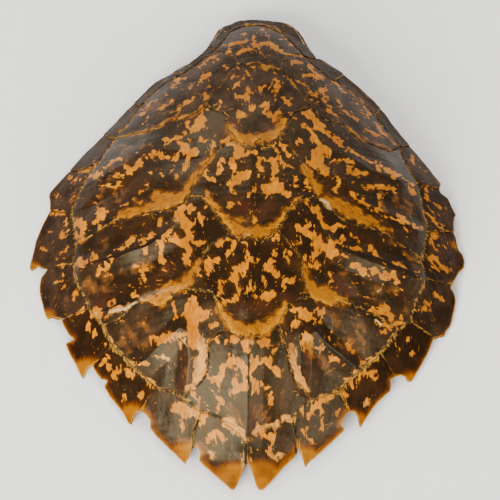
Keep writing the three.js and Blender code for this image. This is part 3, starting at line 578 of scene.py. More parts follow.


# %% [markdown]
# ## The markings
# The amber of tortoiseshell isn't paint but clear horn between clouds of dark pigment. Its patches have
# crisp, torn borders and run along the way the plate grew. A noise alone gives the character but never the
# particular shell, so the patches are laid down first as short brush strokes, each a half width and a few
# places in plan: (half width, x, y, x, y, ...). The material then tears their borders with a noise. Amber
# comes first, plate by plate. The plates are counted from the head, vertebrals down the middle and costals
# on the flanks. Then follow the golden rear margins, a painted sheen of pale peach where the lamps are
# mirrored over the rear plates, smoky brown and red. Straw marks dry flakes along the seams. Dark lines are
# painted shade on the crests and in the tail slots, with a few real cracks, and chalk is a few worn, pale
# spots together with painted highlights on the lit edges of the neck notch.

# %% Amber on the front of the back
AMBER = [
    # vertebral 1
    (2.5, -19, 251, -12, 253), (3.5, -28, 230, -20, 231, -13, 236), (1, -32, 226, -26, 222),
    (3, -18, 212, -13, 216, -7, 219), (1.5, -30, 218, -27, 210, -33, 213), (1, -7, 237, -2, 234, -1, 244),
    (1, -2, 234, -2, 223, 2, 222), (1, 5, 230, 2, 223, 6, 213, 9, 202), (3.5, 9, 229, 15, 230, 22, 227),
    (1, 15, 236, 16, 244, 11, 257), (1, 7, 262, 11, 269, 19, 270), (1, 22, 275, 26, 267, 32, 257),
    (1, 32, 257, 35, 249, 29, 245), (3.5, 25, 221, 31, 218), (1, 34, 218, 44, 219),
    (1, -14, 274, -7, 274, 14, 275), (1.5, -12, 278, -10, 275), (1, 41, 243, 38, 229),
    (1, 21, 177, 26, 164), (2.5, 22, 169, 27, 164, 20, 155), (2, 20, 155, 26, 148), (2.5, 5, 149, 9, 153),
    (4, -14, 138, -8, 142, -7, 145), (2, -2, 145, 5, 149), (1, -5, 138, -4, 127, -2, 121),
    (1, -21, 158, -13, 167), (1, -25, 173, -24, 171), (1.5, 34, 140, 39, 137, 42, 143),
    (1, 7, 124, 12, 130, 16, 131, 15, 121), (1.5, -40, 130, -38, 124), (1, -40, 157, -36, 158),
    (1, -18, 183, -9, 180), (1, -3, 182, -2, 185), (1, -26, 123, -24, 122), (4, -16, 139, -7, 142, -7, 148),
    (1, -4, 128, 1, 120), (1, 6, 124, 13, 130, 15, 121), (2, 32, 140, 39, 134, 42, 140),
    (3, 16, 116, 25, 110, 29, 118), (3, -15, 113, -11, 115), (3.5, -19, 140, -11, 140, -4, 144),
    (1, -6, 137, -3, 126, 0, 119), (3.5, -17, 116, -14, 112, -11, 115),
    # costal 1, left
    (3.5, -62, 175, -57, 179, -51, 183), (2, -75, 166, -70, 170), (2.5, -62, 202, -56, 205, -51, 213),
    (1.5, -51, 213, -43, 206, -46, 216), (2, -91, 191, -83, 187), (1, -34, 191, -32, 185),
    (1, -53, 160, -54, 152, -55, 140), (1, -68, 146, -74, 139), (2, -85, 135, -75, 142),
    (1, -106, 161, -100, 167), (1, -97, 189, -92, 177), (1, -99, 145, -93, 151),
    (1.5, -75, 142, -83, 135, -87, 126), (1, -94, 148, -101, 145, -113, 145),
    (1, -111, 162, -122, 160, -127, 153), (1, -122, 147, -131, 148), (1, -58, 128, -51, 124),
    (1, -38, 134, -40, 123, -45, 129), (1, -121, 137, -120, 134), (1, -125, 127, -127, 125),
    # costal 1, right
    (3, 42, 202, 47, 207, 52, 208), (1.5, 55, 222, 49, 223), (3.5, 58, 185, 67, 189, 74, 191),
    (2, 48, 170, 56, 171, 59, 165), (1.5, 61, 209, 68, 195), (2, 77, 172, 80, 157, 84, 142),
    (1.5, 65, 155, 71, 160), (1.5, 59, 167, 62, 158, 68, 154), (1.5, 93, 193, 99, 184, 104, 180),
    (1, 84, 178, 86, 177), (1, 32, 176, 40, 172, 45, 162), (1, 96, 164, 99, 149),
    (2, 76, 165, 82, 150, 85, 138, 88, 133), (1.5, 89, 133, 92, 133), (1, 64, 147, 70, 143),
    (1.5, 103, 147, 110, 143, 118, 136), (1, 100, 180, 106, 180),
    (1.5, 112, 188, 123, 181, 130, 165, 132, 151), (2.5, 128, 127, 134, 125),
    (2, 140, 147, 146, 136, 155, 128, 161, 122), (1, 119, 167, 125, 156), (1, 138, 123, 147, 124),
    # costal 2, left
    (4, -58, 115, -61, 106, -64, 96), (1, -64, 96, -56, 100, -50, 98), (2, -74, 110, -70, 100),
    (2.5, -97, 91, -95, 84, -87, 88, -76, 93), (1.5, -56, 91, -57, 81, -48, 81),
    (4.5, -76, 76, -70, 66, -63, 68), (2, -72, 65, -73, 55, -74, 45), (2, -78, 77, -83, 69, -88, 62),
    (2.5, -112, 75, -101, 71), (1, -95, 66, -92, 64), (2, -122, 73, -129, 63), (3.5, -129, 61, -137, 55),
    (1.5, -143, 63, -135, 59), (2.5, -152, 58, -148, 52), (1, -159, 77, -152, 78, -142, 77),
    (2, -185, 70, -175, 63), (2, -175, 65, -169, 68), (1.5, -170, 74, -159, 75), (1, -167, 66, -166, 55),
    (1, -165, 48, -153, 42, -147, 45), (2, -149, 44, -146, 44), (1.5, -112, 37, -116, 32),
    (1, -104, 46, -99, 41), (1, -83, 42, -83, 35), (1, -91, 44, -88, 46), (1, -111, 50, -110, 48),
    (2, -144, 15, -140, 16), (1.5, -171, 19, -160, 14), (3.5, -172, 14, -170, 6), (2, -170, 5, -169, -5),
    (2, -116, 69, -115, 67), (1, -179, 32, -178, 30), (1, -123, 29, -122, 27),
    # costal 2, right
    (5, 60, 124, 68, 116, 73, 107), (3.5, 63, 101, 69, 89), (4, 69, 89, 77, 80, 84, 73),
    (2.5, 72, 106, 84, 102, 91, 95, 98, 91), (2.5, 98, 93, 99, 86), (6, 67, 58, 74, 56, 80, 47),
    (6.5, 74, 74, 72, 66), (1, 107, 89, 114, 82, 128, 78, 139, 70), (2, 136, 75, 142, 68),
    (3, 150, 68, 158, 69, 158, 60), (2.5, 102, 69, 108, 67), (2.5, 108, 63, 109, 51, 121, 57),
    (1.5, 92, 65, 99, 67), (2, 125, 56, 126, 55), (2, 92, 27, 97, 42), (2, 125, 36, 130, 42),
    (2, 136, 42, 147, 46, 158, 48), (2.5, 158, 46, 161, 44), (1, 142, 32, 140, 21), (3.5, 177, 61, 180, 53),
    (1.5, 113, 28, 114, 23), (2, 117, 20, 123, 19, 127, 15), (1, 137, 11, 136, 14, 140, 16),
    (3.5, 166, 15, 169, 6), (2, 171, 5, 174, 0), (1.5, 142, 5, 152, 9), (1, 187, 14, 192, 13),
    # vertebral 2
    (2.5, -24, 87, -31, 79, -17, 74), (2, -44, 79, -44, 71, -46, 60), (1.5, 28, 83, 33, 75, 43, 60),
    (1.5, 23, 75, 29, 64, 33, 53, 44, 50), (1.5, 56, 21, 64, 25), (1, 59, 36, 60, 27),
    (1, 43, 118, 48, 112), (1, 56, 108, 58, 101), (1, 52, 88, 54, 83), (1, 48, 77, 49, 82),
]
print(len(AMBER), "amber strokes on the front of the back")

# %% Amber on the middle of the back
AMBER += [
    # costal 3, left
    (3.5, -83, -11, -76, -3, -68, 1), (4, -71, 1, -65, -4), (5, -75, -13, -69, -22, -67, -34),
    (4, -68, -35, -68, -48, -68, -60), (3.5, -84, -35, -74, -40), (1.5, -85, -13, -84, -21),
    (2, -57, -10, -54, -15), (1, -53, -16, -52, -21), (2.5, -98, -36, -98, -50), (2, -98, -51, -95, -60),
    (2, -94, -32, -87, -28), (2, -61, -41, -50, -42), (1, -97, -9, -100, -17), (3, -134, -31, -127, -30),
    (3, -121, -31, -116, -35), (2.5, -116, -39, -113, -46), (2, -111, -30, -105, -27),
    (2, -144, -37, -138, -36), (3.5, -192, -37, -182, -41), (2.5, -174, -34, -171, -42),
    (3, -168, -55, -164, -52, -158, -52), (1.5, -154, -41, -151, -47), (2.5, -118, -65, -117, -76),
    (2, -126, -59, -119, -59, -111, -63), (2, -118, -68, -117, -78), (2.5, -125, -88, -122, -90),
    (2.5, -154, -89, -151, -92), (3.5, -173, -93, -164, -99),
    # costal 3, right
    (2.5, 62, 5, 66, 0, 75, 1), (2.5, 75, -5, 79, -15, 86, -20), (2.5, 89, -20, 97, -13),
    (3.5, 50, -21, 55, -26, 64, -20), (4.5, 61, -27, 71, -31), (5, 72, -35, 79, -41), (4, 84, -43, 92, -48),
    (2.5, 88, -38, 98, -33, 103, -28), (3.5, 73, -43, 70, -53), (2.5, 69, -54, 74, -65),
    (2, 59, -56, 66, -63), (2, 112, -23, 119, -24), (3, 113, -39, 120, -36), (2.5, 132, -33, 137, -37),
    (1, 139, -39, 148, -46), (3, 160, -42, 167, -42), (2, 177, -44, 187, -43), (3.5, 116, -57, 124, -58),
    (3.5, 136, -56, 145, -58, 157, -54), (2.5, 157, -57, 164, -60), (2, 101, -49, 104, -47),
    (1, 90, -70, 87, -80), (1.5, 89, -69, 87, -81), (1, 116, -81, 118, -82),
    (2.5, 137, -91, 150, -90, 159, -97), (2, 163, -93, 168, -95),
    # vertebral 3, front
    (2.5, -47, -65, -36, -62), (1.5, -45, -72, -40, -68), (2, -35, -43, -24, -41), (1, -55, -72, -56, -78),
    (1, -47, -68, -48, -72), (1, 39, -57, 41, -63), (1.5, 43, -42, 49, -43), (2, 28, -34, 32, -35),
    (1, 26, -35, 28, -44),
]
print(len(AMBER), "amber strokes so far")

# %% Amber on the rim and the rear plates
AMBER += [
    # left rim
    (1.5, -211, 85, -208, 83), (1.5, -202, 75, -195, 70), (2, -226, 67, -223, 63), (1, -204, 41, -202, 52),
    (1.5, -228, 42, -212, 32), (2, -211, 29, -210, 16), (1.5, -230, 18, -227, 18), (2.5, -214, 5, -209, 7),
    (1.5, -213, -16, -207, -16), (1, -220, -22, -218, -22), (1, -236, -1, -233, -3),
    (2, -212, -32, -210, -33), (1, -219, -47, -210, -50), (1, -206, -45, -210, -57),
    (2, -199, 85, -185, 81, -177, 83), (2, -179, -102, -175, -111), (2.5, -175, -112, -170, -115),
    (1, -156, -125, -159, -130), (1.5, -172, -130, -171, -132), (1.5, -189, -89, -186, -88),
    (1.5, -156, -148, -153, -150), (2.5, -150, -159, -142, -157), (1.5, -147, -161, -145, -165),
    (3, -132, -158, -128, -163), (2, -120, -182, -116, -184), (2, -108, -174, -106, -180),
    (1.5, -136, -181, -135, -185), (1.5, -170, -150, -154, -140), (1, -208, -56, -206, -50),
    (1.5, -196, -68, -193, -74),
    # right rim
    (2, 181, 116, 184, 102), (1, 194, 101, 197, 99), (2, 197, 59, 198, 55), (2, 205, 54, 212, 53),
    (1, 199, 33, 206, 33, 210, 33), (2, 206, 28, 215, 26), (3, 205, 12, 209, 13), (1.5, 200, 3, 209, -5),
    (1, 214, 2, 217, 3), (2.5, 203, -17, 210, -16), (1, 210, -18, 217, -24, 227, -22),
    (1.5, 203, -21, 205, -24), (1, 206, -25, 209, -29), (1, 205, -28, 207, -31), (2.5, 210, -56, 213, -57),
    (1.5, 197, 68, 199, 72), (2, 191, -80, 196, -76), (1.5, 194, -70, 197, -66), (1, 200, -72, 201, -67),
    (1, 199, -76, 200, -73), (2, 177, -113, 180, -112), (1, 165, -123, 167, -125),
    (1, 183, -124, 184, -124), (2, 122, -164, 125, -158, 138, -152), (1.5, 138, -152, 142, -154),
    (1.5, 114, -167, 117, -172), (1.5, 100, -199, 99, -202),
    # vertebral 3
    (3.5, -32, 77, -20, 77), (4, -16, 70, -16, 62), (2.5, -15, 59, -8, 62, 2, 65),
    (2.5, -36, 54, -36, 46, -36, 40), (1.5, -35, 55, -26, 55, -21, 50), (2, -21, 54, -20, 40),
    (5.5, -17, 32, -7, 37), (2.5, -24, 25, -16, 28), (2.5, 8, 56, 8, 37), (2, 8, 56, 24, 55),
    (3, 26, 58, 25, 49, 24, 34), (5.5, 17, 21, 30, 22), (3.5, 31, 19, 39, 14), (2.5, 20, 27, 26, 32),
    (1.5, -51, 40, -51, 34, -41, 29), (1.5, -33, 24, -32, 23), (1.5, -22, 22, -21, 16),
    (1.5, -3, 12, 0, 15, 2, 21), (1.5, -26, -2, -24, 1, -16, 2), (1, 1, -13, 2, -8), (1, 3, -12, 4, -23),
    (1.5, 26, 70, 29, 61, 34, 53), (1.5, 35, 51, 46, 50), (1.5, 47, 35, 49, 26, 57, 22, 63, 25),
    (1, 60, 36, 60, 26),
    # vertebral 4
    (2, -60, -41, -50, -42), (2, -34, -43, -23, -41), (2, -22, -56, -19, -49, -16, -43),
    (1.5, -14, -43, -4, -47), (2.5, -43, -63, -35, -63), (1, -46, -64, -47, -72), (1, -44, -76, -44, -83),
    (1, -54, -70, -56, -75), (4, -15, -73, -7, -73), (2.5, -6, -68, 1, -62), (1.5, 1, -64, 6, -66, 9, -62),
    (2.5, -16, -77, -16, -82), (2, -9, -77, -8, -81),
    (1, -18, -82, -27, -84, -32, -90, -31, -96, -29, -104, -23, -109),
    (1.5, -15, -83, -13, -91, -11, -100, -12, -104), (1.5, -19, -107, -14, -105),
    (2, -4, -100, 0, -95, 5, -92), (1, 3, -86, 3, -95), (4.5, 24, -64, 23, -71), (2.5, 18, -69, 18, -72),
    (2.5, 26, -76, 30, -80), (1.5, 18, -80, 16, -92, 13, -101), (3.5, 20, -102, 25, -99),
    (1, 8, -101, 12, -104), (2, 27, -50, 29, -56), (4, 40, -84, 43, -83), (1.5, 40, -88, 39, -90),
    (1, 39, -54, 40, -61, 42, -65), (1, 42, -49, 45, -54), (1.5, 54, -94, 62, -93), (1.5, -2, -55, -4, -60),
    # vertebral 5
    (4, -22, -147, -14, -144), (4, -2, -152, 1, -147), (3, 13, -147, 20, -148), (2.5, 23, -150, 28, -150),
    (2.5, -30, -190, -30, -181, -28, -174), (3.5, -25, -170, -17, -166, -9, -167),
    (2.5, -6, -169, -2, -175, -1, -186), (2, -41, -180, -31, -181), (1, -14, -172, -13, -174),
    (2.5, -12, -182, -12, -188), (4, -12, -192, -6, -191), (2.5, 6, -164, 6, -170),
    (2.5, 8, -166, 22, -164), (3, 23, -166, 30, -172), (1.5, 32, -174, 37, -179),
    (2, 6, -170, 6, -180, 7, -190), (2.5, 10, -192, 15, -187), (1.5, 12, -195, 14, -184),
    (1, 17, -191, 25, -187), (2, 25, -192, 26, -198), (1, 25, -199, 26, -203), (2, -29, -200, -26, -204),
    (1.5, -32, -207, -30, -211), (2, -58, -194, -50, -202),
    # supracaudals
    (3.5, -36, -232, -31, -230), (2.5, -28, -232, -23, -237), (2, -41, -237, -37, -233),
    (3, -51, -220, -42, -213), (2.5, 18, -230, 24, -233), (2, 26, -233, 29, -237, 26, -246),
    (1.5, 13, -245, 14, -248), (4.5, -78, -202, -64, -208), (3.5, -61, -209, -46, -213),
    (2, -72, -219, -70, -223), (2.5, 72, -202, 69, -213), (2, 62, -223, 64, -226), (2, 82, -204, 82, -221),
    (1.5, 69, -234, 73, -233),
    # costal 4, left
    (2.5, -103, -131, -98, -135), (3.5, -95, -139, -89, -137, -84, -135), (2, -82, -135, -70, -136),
    (6, -60, -125, -60, -133), (4, -60, -137, -57, -148), (1, -119, -154, -110, -155),
    # costal 4, right
    (5.5, 63, -136, 64, -145), (2, 88, -150, 92, -152), (1.5, 94, -153, 99, -151),
    (1.5, 89, -130, 88, -135), (2, 109, -137, 114, -140), (1, 117, -155, 131, -144, 143, -139),
    (1.5, 136, -153, 141, -155, 142, -159), (1, 124, -160, 128, -157, 136, -153),
    (1.5, 107, -169, 116, -170), (1, 130, -185, 134, -182), (2.5, 77, -198, 81, -192, 92, -186),
    (2, 99, -181, 107, -182), (1.5, 82, -200, 82, -206), (1.5, 99, -200, 102, -198),
    (1.5, 59, -206, 60, -207), (1.5, 69, -208, 68, -213),
    # corners beside the tail
    (2.5, 45, -111, 55, -109), (4, 58, -116, 69, -114), (2, 47, -129, 58, -122), (2, 77, -111, 82, -110),
    (2, 80, -114, 77, -120), (1.5, 54, -94, 60, -93), (1.5, 130, -97, 141, -97), (2, 141, -105, 153, -106),
    (3, 149, -111, 165, -100), (4.5, -59, -101, -59, -111), (7, -65, -114, -50, -118),
    (5, -60, -120, -60, -125), (2, -82, -104, -81, -115), (1.5, -44, -128, -33, -131),
    (2, -40, -143, -32, -144),
    # outer flank of costal 2, right
    (2, 177, 60, 181, 54), (2, 163, 15, 170, 6), (1.5, 151, 10, 163, 8), (1.5, 175, 12, 192, 10),
    (1.5, 139, 73, 154, 72, 170, 64, 182, 67), (1.5, 106, 82, 124, 79, 133, 74),
    # outer flank of costal 2, left
    (3, -172, 14, -165, 8), (2, -175, 5, -170, -3), (3, -196, 13, -186, 3), (2, -197, 1, -187, -13),
]
print(len(AMBER), "amber strokes in all")

# %% Gold on the free margins
GOLD = [
    # vertebral 1
    (3.5, 8, 187, 13, 184, 17, 187), (6, -14, 85, -1, 81, 14, 84, 27, 93, 33, 108),
    (5.5, -26, 97, -16, 82, -3, 77, 7, 83),
    # costal 1, left
    (2.5, -58, 126, -65, 120, -74, 118, -84, 121), (2.5, -86, 121, -96, 120, -104, 117),
    (2, -106, 114, -117, 112, -129, 113, -138, 114), (2, -146, 138, -148, 132, -151, 129),
    # costal 1, right
    (2, 104, 119, 113, 113, 117, 107, 127, 108), (1.5, 135, 109, 144, 108, 159, 109),
    # costal 2, left
    (3.5, -43, 63, -53, 50, -58, 41), (4.5, -60, 41, -68, 26, -74, 14), (7, -104, 17, -91, 12, -80, 12),
    (5.5, -144, 4, -127, 4, -106, 5, -87, 6), (2.5, -127, 14, -121, 14),
    # costal 2, right
    (4.5, 57, 50, 67, 35, 74, 22), (6, 83, 14, 91, 8, 104, 3), (6, 104, 3, 119, -1, 136, -1),
    (4, 94, 15, 107, 11, 120, 5), (2.5, 137, -5, 155, -6),
    # costal 3, left
    (3.5, -56, -64, -62, -73), (6, -64, -79, -73, -86, -81, -88), (6.5, -87, -86, -95, -92),
    (5.5, -103, -98, -92, -100), (3.5, -115, -93, -105, -95),
    # costal 3, right
    (3.5, 62, -74, 65, -82), (6.5, 68, -86, 76, -93, 88, -96), (5.5, 80, -87, 93, -91, 102, -94),
    (2.5, 59, -64, 62, -71),
    # costal 4, right
    (3.5, 65, -145, 68, -152),
    # right rim
    (4, 231, 13, 234, 10),
    # vertebral 3
    (4, -48, 12, -44, 4), (3, -41, 1, -35, -6), (4.5, -32, -12, -26, -19), (6.5, -19, -26, -7, -31),
    (6.5, -7, -32, 3, -33), (6.5, 7, -32, 17, -30), (4, 20, -27, 28, -22), (2.5, 30, -18, 37, -6, 46, 3),
    (3, 47, 5, 55, 10), (2, -16, -17, -6, -18),
    # vertebral 4
    (4, -33, -111, -29, -118), (5.5, -26, -123, -19, -129), (7, -13, -133, 0, -137), (7, 6, -136, 16, -134),
    (6, 21, -130, 29, -125), (5, 32, -122, 36, -115), (2.5, 37, -111, 41, -106),
]
print(len(GOLD), "golden margins")

# %% Painted sheen: pale peach where the lamps are mirrored over amber
PAINTED_SHEEN_STROKES = [
    # costal 3, left
    (2.5, -152, -98, -143, -98, -132, -96),
    # right rim
    (2, 133, -183, 134, -185),
    # vertebral 5
    (4, -22, -220, -15, -223), (3.5, -13, -227, -3, -229), (2.5, 8, -229, 20, -224),
    (1.5, 25, -224, 34, -223), (2.5, 41, -214, 47, -217), (3, -58, -210, -51, -214),
    # supracaudals
    (2.5, -48, -245, -33, -250), (3, -22, -222, -10, -228), (2, -10, -229, 0, -236),
    (2.5, 31, -250, 41, -251), (2.5, 10, -230, 13, -226, 22, -225), (2, 26, -223, 35, -220),
    (2, -73, -233, -63, -236), (3, 42, -213, 49, -216),
    # costal 4, left
    (1.5, -77, -138, -73, -148), (1.5, -72, -137, -66, -146), (5.5, -51, -146, -49, -160),
    (5.5, -50, -163, -53, -177), (2.5, -59, -184, -64, -187), (1.5, -99, -152, -92, -153),
    (2, -92, -154, -87, -156),
    # costal 4, right
    (1.5, 73, -146, 82, -143), (4.5, 48, -149, 50, -162), (4.5, 51, -166, 57, -177),
    (2.5, 60, -181, 64, -185),
]
print(len(PAINTED_SHEEN_STROKES), "pale strokes")

# %% Smoky brown
BROWN = [
    # costal 2, left
    (1, -165, 45, -170, 35, -168, 25, -159, 19, -154, 23, -153, 34, -156, 42),
    (1, -140, 95, -131, 91, -117, 87), (1, -155, 96, -142, 83, -136, 87),
    # costal 2, right
    (2, 171, 39, 177, 38),
    # costal 3, left
    (2.5, -162, -24, -162, -28), (5, -126, -60, -119, -57, -111, -61), (4.5, -186, -64, -170, -71),
    (3.5, -183, -60, -173, -70, -156, -75), (4, -163, -58, -157, -64), (2, -141, -61, -137, -64),
    # costal 3, right
    (2, 153, -15, 158, -18), (2.5, 172, -26, 183, -28), (2, 183, -36, 187, -37), (2.5, 101, -66, 107, -63),
    (4.5, 138, -76, 147, -70, 161, -69), (3.5, 141, -86, 146, -89), (3, 178, -76, 174, -86),
    # left rim
    (1, -221, 26, -218, 21), (1, -207, -67, -203, -71),
    # right rim
    (1.5, 231, -13, 234, -13),
    # vertebral 5
    (5.5, -18, -210, -11, -218), (5, 12, -212, 21, -217), (2, 38, -194, 41, -202),
    # costal 4, left
    (1.5, -64, -164, -66, -183), (2.5, -116, -139, -105, -133), (4, -136, -120, -128, -127),
    (2.5, -141, -129, -132, -140),
    # costal 4, right
    (4, 80, -154, 88, -164), (2, 99, -120, 104, -122), (2, 120, -122, 127, -130), (3, 101, -136, 110, -139),
    (3, 117, -139, 127, -141),
    # corners beside the tail
    (4.5, 88, -109, 100, -117), (3.5, 114, -111, 126, -116), (5, 106, -131, 124, -139),
    (3, -117, -117, -105, -130), (3.5, -126, -133, -111, -139),
    # outer flank of costal 2, right
    (2, 125, 36, 136, 46, 146, 46), (2, 142, 43, 143, 27, 151, 14), (2.5, 160, 40, 163, 28, 175, 27),
    (2, 175, 36, 182, 26),
    # outer flank of costal 2, left
    (1.5, -171, 40, -166, 45, -155, 41, -152, 29, -156, 21, -165, 26, -171, 38),
    (1.5, -151, 42, -145, 39, -143, 27, -149, 22), (1.5, -166, 66, -163, 73, -155, 65, -155, 52, -162, 53),
    (1.5, -154, 69, -142, 68, -138, 83, -146, 93), (2, -166, 101, -160, 105, -143, 96),
    (1.5, -132, 150, -119, 152, -110, 156, -95, 152), (1.5, -121, 133, -106, 132, -94, 134),
]
print(len(BROWN), "smoky strokes")

# %% Red-brown
RED = [
    # costal 3, left
    (7, -110, -75, -100, -71, -91, -66), (4.5, -167, -86, -152, -89),
    # costal 3, right
    (9, 98, -74, 106, -82), (7.5, 94, -76, 104, -82), (6, 97, 22, 104, 20), (6, 88, 48, 91, 56),
    # left rim
    (1.5, -206, 39, -202, 53),
    # vertebral 3
    (8.5, -12, 4, -6, -4), (7.5, 13, -6, 20, -3),
    # vertebral 4
    (6.5, -7, -111, -9, -116), (7, 12, -110, 19, -112), (4.5, 37, -102, 41, -103),
    # vertebral 5
    (3, -10, -206, -2, -225), (3, 5, -205, 8, -223),
    # costal 4, left
    (4, -65, -153, -66, -168), (3.5, -68, -168, -64, -180),
    # costal 4, right
    (2, 65, -143, 65, -149), (3, 67, -152, 65, -169), (2, 65, -170, 64, -181),
]
print(len(RED), "red strokes")

# %% Straw-coloured flakes
STRAW = [
    # under the tail slot
    (2.5, -1, -241, -2, -253, -2, -262),
    # slots between the tail plates
    (1, -4, -240, -4, -263), (1, 5, -241, 7, -264), (1, -57, -221, -58, -234), (1, 51, -242, 48, -251),
    # supracaudals
    (2.5, 53, -207, 52, -224), (1.5, -56, -224, -57, -242), (1.5, -4, -236, -4, -263),
    (1.5, 5, -241, 6, -265),
    # along the inner margin, rear
    (2, -201, 21, -196, -8, -197, -34, -195, -48), (2.6, -195, -48, -190, -61, -182, -77, -175, -91),
    (3.2, -175, -91, -169, -99, -161, -110, -156, -121, -150, -131, -140, -142),
    (3, -140, -142, -130, -152, -119, -162, -101, -180),
    (2, -101, -180, -92, -184, -82, -188, -67, -196, -50, -210), (1.6, 191, 52, 193, 39, 196, 24, 198, 11),
    (1.8, 198, 11, 194, -14, 191, -25, 196, -44), (2.2, 196, -44, 191, -54, 183, -76, 179, -94),
    (2.8, 172, -99, 163, -110, 154, -122, 146, -134, 137, -144),
    (2.8, 137, -144, 126, -153, 115, -163, 107, -173, 100, -181),
    (2, 100, -181, 78, -191, 68, -196, 51, -213),
    # along the inner margin, front
    (1.5, -120, 183, -131, 164, -144, 140, -158, 118),
    (1.7, -158, 118, -176, 84, -190, 62, -204, 29, -201, 21), (1.3, 124, 178, 138, 163, 153, 142, 167, 120),
    (1.5, 167, 120, 176, 88, 189, 67, 191, 52),
]
print(len(STRAW), "lines of flakes")

# %% Cracks and painted shade lines
# Mostly painted shade: dark lines on the steep faces of the crests and folds and in the slots between the
# tail plates, with a few real cracks.
CRACK_AND_SHADE_STROKES = [
    # crest of costal 3, left
    (1, -181, -43, -167, -43, -153, -43, -140, -42, -122, -41), (1.5, -122, -41, -109, -38, -100, -32),
    # folds of costal 2, right
    (0.5, 69, 127, 76, 124, 82, 118, 97, 121, 103, 117),
    (1, 99, 63, 115, 62, 130, 61, 145, 58, 160, 59, 176, 65), (1, 156, 7, 169, 6, 191, 5),
    (1, 88, 1, 93, -5, 101, -10),
    # crest of costal 3, right
    (1.5, 109, -41, 122, -42, 140, -42, 155, -45, 176, -45, 191, -43),
    (0.5, 126, -102, 135, -102, 148, -104), (0.5, 121, -99, 135, -98, 147, -99),
    # crest of costal 4, left
    (1.5, -118, -153, -106, -150, -95, -147), (2.5, -96, -148, -92, -142),
    (1, -163, -95, -141, -93, -121, -92), (1, -47, -208, -31, -215, -27, -218),
    # crest of costal 4, right
    (2, 73, -128, 80, -136, 90, -144), (1.5, 90, -144, 101, -149, 113, -153), (1, 113, -153, 122, -154),
    # slots between the tail plates
    (1.5, 0, -240, 0, -252, 1, -263), (1, -53, -218, -56, -234, -59, -250),
    (1, 54, -217, 53, -233, 56, -248),
]
print(len(CRACK_AND_SHADE_STROKES), "cracks")

# %% Chalky spots and painted edge highlights
CHALK_AND_HIGHLIGHTS = [
    # flake on costal 2, right
    (2, 77, 12, 82, 10, 86, 4), (1.5, 86, 4, 89, 1),
    # scratch on costal 3, right
    (0.5, 140, -74, 145, -71, 148, -65), (1.5, 139, -104, 145, -106),
    # flake on costal 3, left
    (1.5, -153, -98, -138, -99, -124, -96),
    # rims of the neck notch: painted highlights where these edges catch the light
    (1, -52, 249, -45, 263, -39, 280, -28, 284), (0.5, -48, 260, -42, 247, -50, 245),
    (0.5, -39, 273, -33, 254, -36, 241), (1, 33, 286, 45, 281, 52, 264, 58, 250, 68, 238, 73, 232),
    (0.5, 38, 290, 46, 277), (0.5, 48, 252, 55, 250), (0.5, -63, 227, -75, 218, -87, 208),
    (0.5, -72, 211, -86, 201), (0.5, 73, 229, 86, 223, 97, 216),
    # corners beside the tail
    (1, 140, -75, 145, -71, 148, -66),
]
print(len(CHALK_AND_HIGHLIGHTS), "chalky spots")

# %% [markdown]
# ## Strokes as distances
# Each point of a plate stores how deep it lies inside the nearest stroke, in millimetres, and a negative
# number outside. A distance blends far better than a painted yes or no. The border sits wherever the
# material puts its threshold, so it stays sharp at any zoom however coarse the mesh is.

# %% Depth inside strokes
FAR = -12.0         # the depth stored where no stroke is near
SEARCH = 14         # how far outside a stroke its depth is still worked out


def torn_plan(plan):
    """The plan pulled about a little, so that no stroke keeps straight sides or a round end."""
    x, y = plan[:, 0], plan[:, 1]
    pull = [1.8 * waves(x, y, 14, 71 + k) + 1.2 * waves(x, y, 6, 73 + k) for k in (0, 1)]
    return plan + np.stack(pull, 1)


def depth_inside(plan, strokes, pull=1.0):
    plan = plan + (torn_plan(plan) - plan) * pull
    depth = np.full(len(plan), FAR)
    low, high = plan.min(0), plan.max(0)
    for half, *numbers in strokes:
        line = np.array(numbers, float).reshape(-1, 2)
        if (line.max(0) + SEARCH < low).any() or (line.min(0) - SEARCH > high).any():
            continue
        if len(line) == 1:
            line = np.vstack([line, line + 0.01])
        near = (np.abs(plan - line.mean(0)) < np.ptp(line, axis=0) / 2 + half + SEARCH).all(1)
        if near.any():
            depth[near] = np.maximum(depth[near], half - to_line(plan[near], line)[0])
    return depth


places = np.array([(-8.0, 142.0), (0.0, 0.0)])
print("depth in amber at two places:", depth_inside(places, AMBER).round(1), "mm")


# %% [markdown]
# ## Amber tips
# Round the rear the plates end in thin, pointed teeth that let the light through, so they glow gold, with a
# feathery reddish border to the dark horn inside. Two numbers per tooth say how wide the gold is along the
# rim and how far it reaches in from the point.

# %% Gold along the rim: (width along the rim, reach from the point)
RIM_GOLD = {
    "left": [(0, 0), (0, 0), (0, 0), (0.5, 1), (0.5, 2), (0.8, 2), (1.5, 13), (1.5, 12), (3.5, 24), (4, 24),
             (6, 26), (7, 31)],
    "right": [(0, 0), (0, 0), (0, 0), (0.5, 2), (0.5, 7), (0.8, 3), (1.5, 5), (1.5, 5), (2.5, 13), (4, 17),
              (6, 24), (8, 32)],
}


def rim_gold(name):
    side = "left" if "left" in name else "right"
    index = 12 if name.startswith("supra") else int(name.rsplit("_", 1)[1]) if "marginal" in name else 1
    return RIM_GOLD[side][index - 1]


print("gold at the left tip of the tail:", rim_gold("supracaudal_scute_left"), "mm")


# %% [markdown]
# ## Building a plate
# The outline is filled with an even lattice of points, joined by Blender's own Delaunay routine,
# which keeps the outline's edges. The top skin follows dome and relief, the bottom skin lies parallel three
# millimetres below, and a wall closes the edge. Building both skins from one flat net is the simplest way
# to a closed plate with an even thickness on a curved form. A solidify modifier would do much the same, but
# gives no say over the thin rim and the flat foot.

# %% Flat net
SPACING = 1.6
ROW_STEP = 0.87             # rows of near-equilateral triangles, as a share of the spacing
INSET, LEAST_INSET = 0.75, 0.55     # a second ring of points follows the edge at this distance


